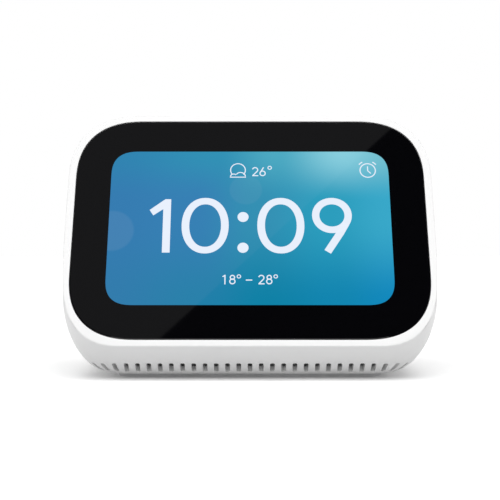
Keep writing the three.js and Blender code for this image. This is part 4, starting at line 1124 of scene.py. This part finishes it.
def makeFoot(finish):
    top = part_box("rubber_foot")[1].z / mm
    levels = [(0.0, -0.35), (0.1, -0.12), (0.3, 0.0), (top, 0.0)]
    loops = [[(x, y, z) for x, y in baseLoop(grow - 0.75, 14)] for z, grow in levels]
    foot = layered("rubberFoot", loops, finish)
    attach(foot, caseBody)
    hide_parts("rubber_foot")
    return foot


button = {"round": 0.35, "collar": 0.8, "collarThick": 0.8, "stem": 1.5}
button |= {"sign": 2.4, "pen": 0.42, "engraved": 0.12}


def inSign(face, centre):
    offset = face.center / mm - Vector((*centre, 0))
    return max(abs(offset.x), abs(offset.y)) < button["sign"] / 2 + 0.02


def makeButton(name, cadNode, body, side, finish, signFinish):
    low, high = (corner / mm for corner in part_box(cadNode))
    centre = (side * ports["buttonX"], ports["buttonY"])
    halfX, halfY = ports["buttonLength"] / 2, ports["buttonWidth"] / 2
    collarTop = shell["top"] - shell["wall"] - 0.1

    def pill(grow, z):
        loop = roundedLoop(halfX + grow, halfY + grow, halfY + grow - 0.01, steps=10, centre=centre)
        return [(x, y, z) for x, y in loop]

    r = button["round"]
    levels = [
        (button["collar"], collarTop - button["collarThick"]),
        (button["collar"], collarTop),
        (0.0, collarTop),
        (0.0, high.z - r),
        (-r * 0.3, high.z - r * 0.3),
        (-r, high.z),
    ]
    cap = makePiece(name, *stackLoops([pill(grow, z) for grow, z in levels]))
    stem = prismUp("stem", circleLoop(button["stem"], centre, 24), low.z, collarTop - 0.4)
    combine(cap, stem, "UNION")
    reach, pen = button["sign"] / 2, button["pen"] / 2
    bars = [(reach, pen)] if side < 0 else [(reach, pen), (pen, reach)]
    for halfLong, halfWide in bars:
        bar = roundedLoop(halfLong, halfWide, pen * 0.98, steps=5, centre=centre)
        combine(cap, prismUp("sign", bar, high.z - button["engraved"], high.z + 0.5), "DIFFERENCE")
    cap.data.materials.clear()
    cap.data.materials.append(finish)
    cap.data.materials.append(signFinish)
    for face in cap.data.polygons:
        # the engraved sign is filled with grey paint
        level = (face.center / mm).z
        sunk = high.z - level
        face.material_index = int(0.02 < sunk < button["engraved"] + 0.02 and inSign(face, centre))
    softenShading(cap)
    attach(cap, body)
    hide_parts(cadNode)
    return cap


def makeSlider(finish):
    low, high = (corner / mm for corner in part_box("mute_slider"))
    centreX, z = (low.x + high.x) / 2, ports["sliderZ"]
    knobHalf, knobHigh = 2.3, 1.6

    def frameLoop(halfX, halfZ, r, y):
        return [(x, y, zz) for x, zz in roundedLoop(halfX, halfZ, r, steps=6, centre=(centreX, z))]

    flangeFront = shellLevel(z + 3, shell["wall"])["back"] - 0.75
    loops = [
        frameLoop(knobHalf - 0.25, knobHigh - 0.25, 0.4, high.y - 0.3),
        frameLoop(knobHalf - 0.08, knobHigh - 0.08, 0.5, high.y - 0.38),
        frameLoop(knobHalf, knobHigh, 0.5, high.y - 0.6),
        frameLoop(knobHalf, knobHigh, 0.5, flangeFront + 0.6),
        frameLoop(knobHalf + 1.6, knobHigh + 1.0, 0.5, flangeFront + 0.6),
        frameLoop(knobHalf + 1.6, knobHigh + 1.0, 0.5, flangeFront),
        frameLoop(1.0, 1.0, 0.2, flangeFront),
        frameLoop(1.0, 1.0, 0.2, low.y),
    ]
    slider = makePiece("muteSlider", *stackLoops(loops))
    for offset in (-1.2, 0, 1.2):
        rib = roundedLoop(0.28, 1.15, 0.25, steps=4, centre=(centreX + offset, z))
        combine(slider, prismBack("rib", rib, high.y - 1, high.y), "UNION")
    slider.data.materials.clear()
    slider.data.materials.append(finish)
    softenShading(slider)
    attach(slider, "mute_body")
    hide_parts("mute_slider")
    return slider


def turnedBack(name, profile, centre, finish, steps=40):
    # a turned piece whose axis runs back; profile is radius and y, from front to back
    loops = []
    for radius, y in profile:
        loops.append([(x, y, z) for x, z in circleLoop(radius, centre, steps)][::-1])
    return layered(name, loops, finish)


def makeSocket(finish, pinFinish):
    low, high = (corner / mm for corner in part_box("power_socket"))
    centre = (ports["rearX"], ports["jackZ"])
    half = (high.x - low.x) / 2
    blockBack = high.y - 2.0
    block = roundedLoop(half, half, 0.5, steps=5, centre=centre)
    body = prismBack("powerSocket", block, low.y, blockBack)
    nose = circleLoop(4.2, centre, 48)
    combine(body, prismBack("nose", nose, blockBack - 1, high.y), "UNION")
    well = [(2.85, low.y + 2), (2.85, high.y - 0.35), (3.2, high.y), (3.2, high.y + 2)]
    combine(body, turnedBack("well", well, centre, None), "DIFFERENCE")
    body.data.materials.clear()
    body.data.materials.append(finish)
    softenShading(body)
    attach(body, caseBody)
    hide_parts("power_socket")
    pinLow, pinHigh = (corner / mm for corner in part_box("power_socket_pin"))
    tip = pinHigh.y
    profile = [(0.95, pinLow.y), (0.95, tip - 0.6), (0.8, tip - 0.2), (0.45, tip)]
    pin = turnedBack("socketPin", profile, centre, pinFinish, 24)
    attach(pin, caseBody)
    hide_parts("power_socket_pin")
    return body


# ------------------------------------------------ inside: finishes for the pieces of the frame


def plainFinish(name, colour, roughness, metallic=0.0, grainSize=0.3, grainDepth=0.01):
    finish = makeFinish(name, colour, roughness, metallic)
    lighter = tuple(min(1, c * 1.12 + 0.004) for c in colour)
    varyColour(finish, 8, colour, lighter)
    addGrain(finish, grainSize, grainDepth, 0.4)
    return finish


def brushedMetal(name, colour, roughness):
    finish = makeFinish(name, colour, roughness, 1.0)
    varyRoughness(finish, 5, roughness * 0.8, roughness * 1.3)
    addGrain(finish, 0.3, 0.006, 0.35, (1, 1, 14))
    return finish


def wovenMesh():
    # fine grey cloth
    finish = makeFinish("wovenMesh", (0.3, 0.3, 0.3), 0.9, specular=0.2)
    place = node(finish, "ShaderNodeTexCoord")
    wave = node(finish, "ShaderNodeTexWave", wave_type="BANDS", bands_direction="DIAGONAL")
    wave.inputs["Scale"].default_value = 900
    ramp = node(finish, "ShaderNodeValToRGB")
    ramp.color_ramp.elements[0].color = (0.2, 0.2, 0.2, 1)
    ramp.color_ramp.elements[1].color = (0.4, 0.4, 0.4, 1)
    bump = node(finish, "ShaderNodeBump")
    bump.inputs["Strength"].default_value = 0.8
    bump.inputs["Distance"].default_value = 0.0001
    wire(finish, place.outputs["Object"], wave.inputs["Vector"])
    wire(finish, wave.outputs["Fac"], ramp.inputs["Fac"])
    wire(finish, ramp.outputs["Color"], shaderOf(finish).inputs["Base Color"])
    wire(finish, wave.outputs["Fac"], bump.inputs["Height"])
    wire(finish, bump.outputs["Normal"], shaderOf(finish).inputs["Normal"])
    return finish


def slotFinishes(shared):
    return {
        "white_plastic": shared["white"],
        "grey_plastic": shared["grey"],
        "black_plastic": shared["black"],
        "black_glass": shared["glass"],
        "foot_rubber": shared["foot"],
        "touch_film": plainFinish("touchFilm", (0.05, 0.07, 0.09), 0.15),
        "screen": plainFinish("panelGlass", (0.12, 0.35, 0.5), 0.2),
        "light_guide": plainFinish("lightGuide", (0.85, 0.87, 0.88), 0.4),
        "foam": plainFinish("blackFoam", (0.03, 0.03, 0.03), 0.95, 0, 0.4, 0.08),
        "pale_rubber": plainFinish("siliconeRubber", (0.3, 0.3, 0.31), 0.7),
        "mesh": wovenMesh(),
        "steel": brushedMetal("platedSteel", (0.62, 0.63, 0.65), 0.32),
        "screw_steel": brushedMetal("screwSteel", (0.45, 0.45, 0.47), 0.28),
        "aluminium": brushedMetal("sheetAluminium", (0.75, 0.76, 0.77), 0.38),
        "circuit_board": plainFinish("solderMask", (0.02, 0.13, 0.06), 0.35, 0, 1.2, 0.03),
        "flex": plainFinish("amberFilm", (0.42, 0.19, 0.04), 0.3),
        "chip": plainFinish("chipEpoxy", (0.015, 0.015, 0.017), 0.5, 0, 0.15, 0.01),
        "magnet": plainFinish("ferriteGrey", (0.2, 0.205, 0.22), 0.45, 0.6),
        "cone_paper": plainFinish("conePaper", (0.035, 0.035, 0.038), 0.85, 0, 0.5, 0.06),
        "copper": brushedMetal("copperWinding", (0.72, 0.33, 0.17), 0.35),
        "cable": plainFinish("cableSheath", (0.02, 0.02, 0.022), 0.5),
    }


def coatFrame(finishes):
    slotOf = {part["node"]: part["material_slot"] for part in frame["record"]["subparts"]}
    for name, cadNode in frame["nodes"].items():
        cadNode.data.materials.clear()
        cadNode.data.materials.append(finishes[slotOf[name]])


# ------------------------------------------------ stage: table and glare card


def makeTable():
    size = light["tableSize"]
    finish = makeFinish("tablePaper", light["tableColour"], 0.9, specular=0.0)
    seen = node(finish, "ShaderNodeLightPath")
    pick = node(finish, "ShaderNodeMix", data_type="RGBA")
    pick.inputs["A"].default_value = (*light["tableColour"], 1)
    pick.inputs["B"].default_value = (*light["tableBounce"], 1)
    wire(finish, seen.outputs["Is Diffuse Ray"], pick.inputs["Factor"])
    wire(finish, pick.outputs["Result"], shaderOf(finish).inputs["Base Color"])
    shaderOf(finish).inputs["Emission Color"].default_value = (1, 1, 1, 1)
    shaderOf(finish).inputs["Emission Strength"].default_value = light["tableLift"]
    corners = [(-size, -size, 0), (size, -size, 0), (size, size, 0), (-size, size, 0)]
    table = makePiece("table", corners, [(0, 1, 2, 3)], finish)
    return table


glare = {
    "distance": 1500,
    "strength": 0.19,
    "edgeFoot": (-26.6, -36.6),  # on the face, where the card's edge is mirrored
    "edgeHead": (44.9, 34.4),
    "size": 2400,
}


def makeGlareCard(eye):
    # a card that only mirrors see: its straight edge runs slantwise over the glass
    start = eye.location / mm
    mirrored = start - outOfFace * 2 * (start - faceCentre).dot(outOfFace)
    centreRay = (onFace(0, 0) - mirrored).normalized()
    plane = onFace(0, 0) + centreRay * glare["distance"]

    def through(x, y):
        ray = (onFace(x, y) - mirrored).normalized()
        return mirrored + ray * ((plane - mirrored).dot(centreRay) / ray.dot(centreRay))

    foot, head = through(*glare["edgeFoot"]), through(*glare["edgeHead"])
    along = (head - foot).normalized()
    away = along.cross(centreRay).normalized()
    if away.x > 0:
        away = -away
    middle = (foot + head) / 2
    half = glare["size"] / 2
    corners = [
        middle - along * half,
        middle + along * half,
        middle + along * half + away * glare["size"],
        middle - along * half + away * glare["size"],
    ]
    finish = bpy.data.materials.new("glareCard")
    finish.use_nodes = True
    finish.node_tree.nodes.clear()
    glow = node(finish, "ShaderNodeEmission")
    glow.inputs["Strength"].default_value = glare["strength"]
    out = node(finish, "ShaderNodeOutputMaterial")
    wire(finish, glow.outputs[0], out.inputs["Surface"])
    card = makePiece("glareCard", corners, [(0, 1, 2, 3)], finish)
    card.visible_camera = False
    card.visible_diffuse = False
    card.visible_shadow = False
    return card


# ------------------------------------------------ build

setView()
eye = makeCamera()
makeWorld()
addSun("keyLight", light["keyStrength"], light["keySpread"], 0, 90 - light["keyTilt"])
for side, azimuth in (("left", -90), ("right", 90)):
    addSun(side + "Light", light["sideStrength"], light["sideSpread"], azimuth, light["sideHeight"])
makeTable()
makeGlareCard(eye)
print("stage set")

shared = {
    "white": whitePlastic(),
    "grey": greyPlastic(),
    "black": blackPlastic(),
    "glass": blackGlass(),
    "foot": footRubber(),
    "ink": whiteInk(),
    "picture": screenPicture(),
}
finishes = slotFinishes(shared)
coatFrame(finishes)
print("frame coated")

makeShell(shared["white"])
print("shell made")
makeGlass(shared["glass"], shared["picture"])
makeClock(shared["ink"])
makeWeather(shared["ink"])
makeAlarm(shared["ink"])
makeForecast(shared["ink"])
print("glass and picture made")
makeFoot(shared["foot"])
makeButton("volumeUpCap", "volume_up_button", "volume_up_body", 1, shared["white"], shared["grey"])
makeButton("volumeDownCap", "volume_down_button", "volume_down_body", -1, shared["white"], shared["grey"])
makeSlider(shared["grey"])
makeSocket(shared["black"], finishes["steel"])
print("foot, buttons, slider and socket made")
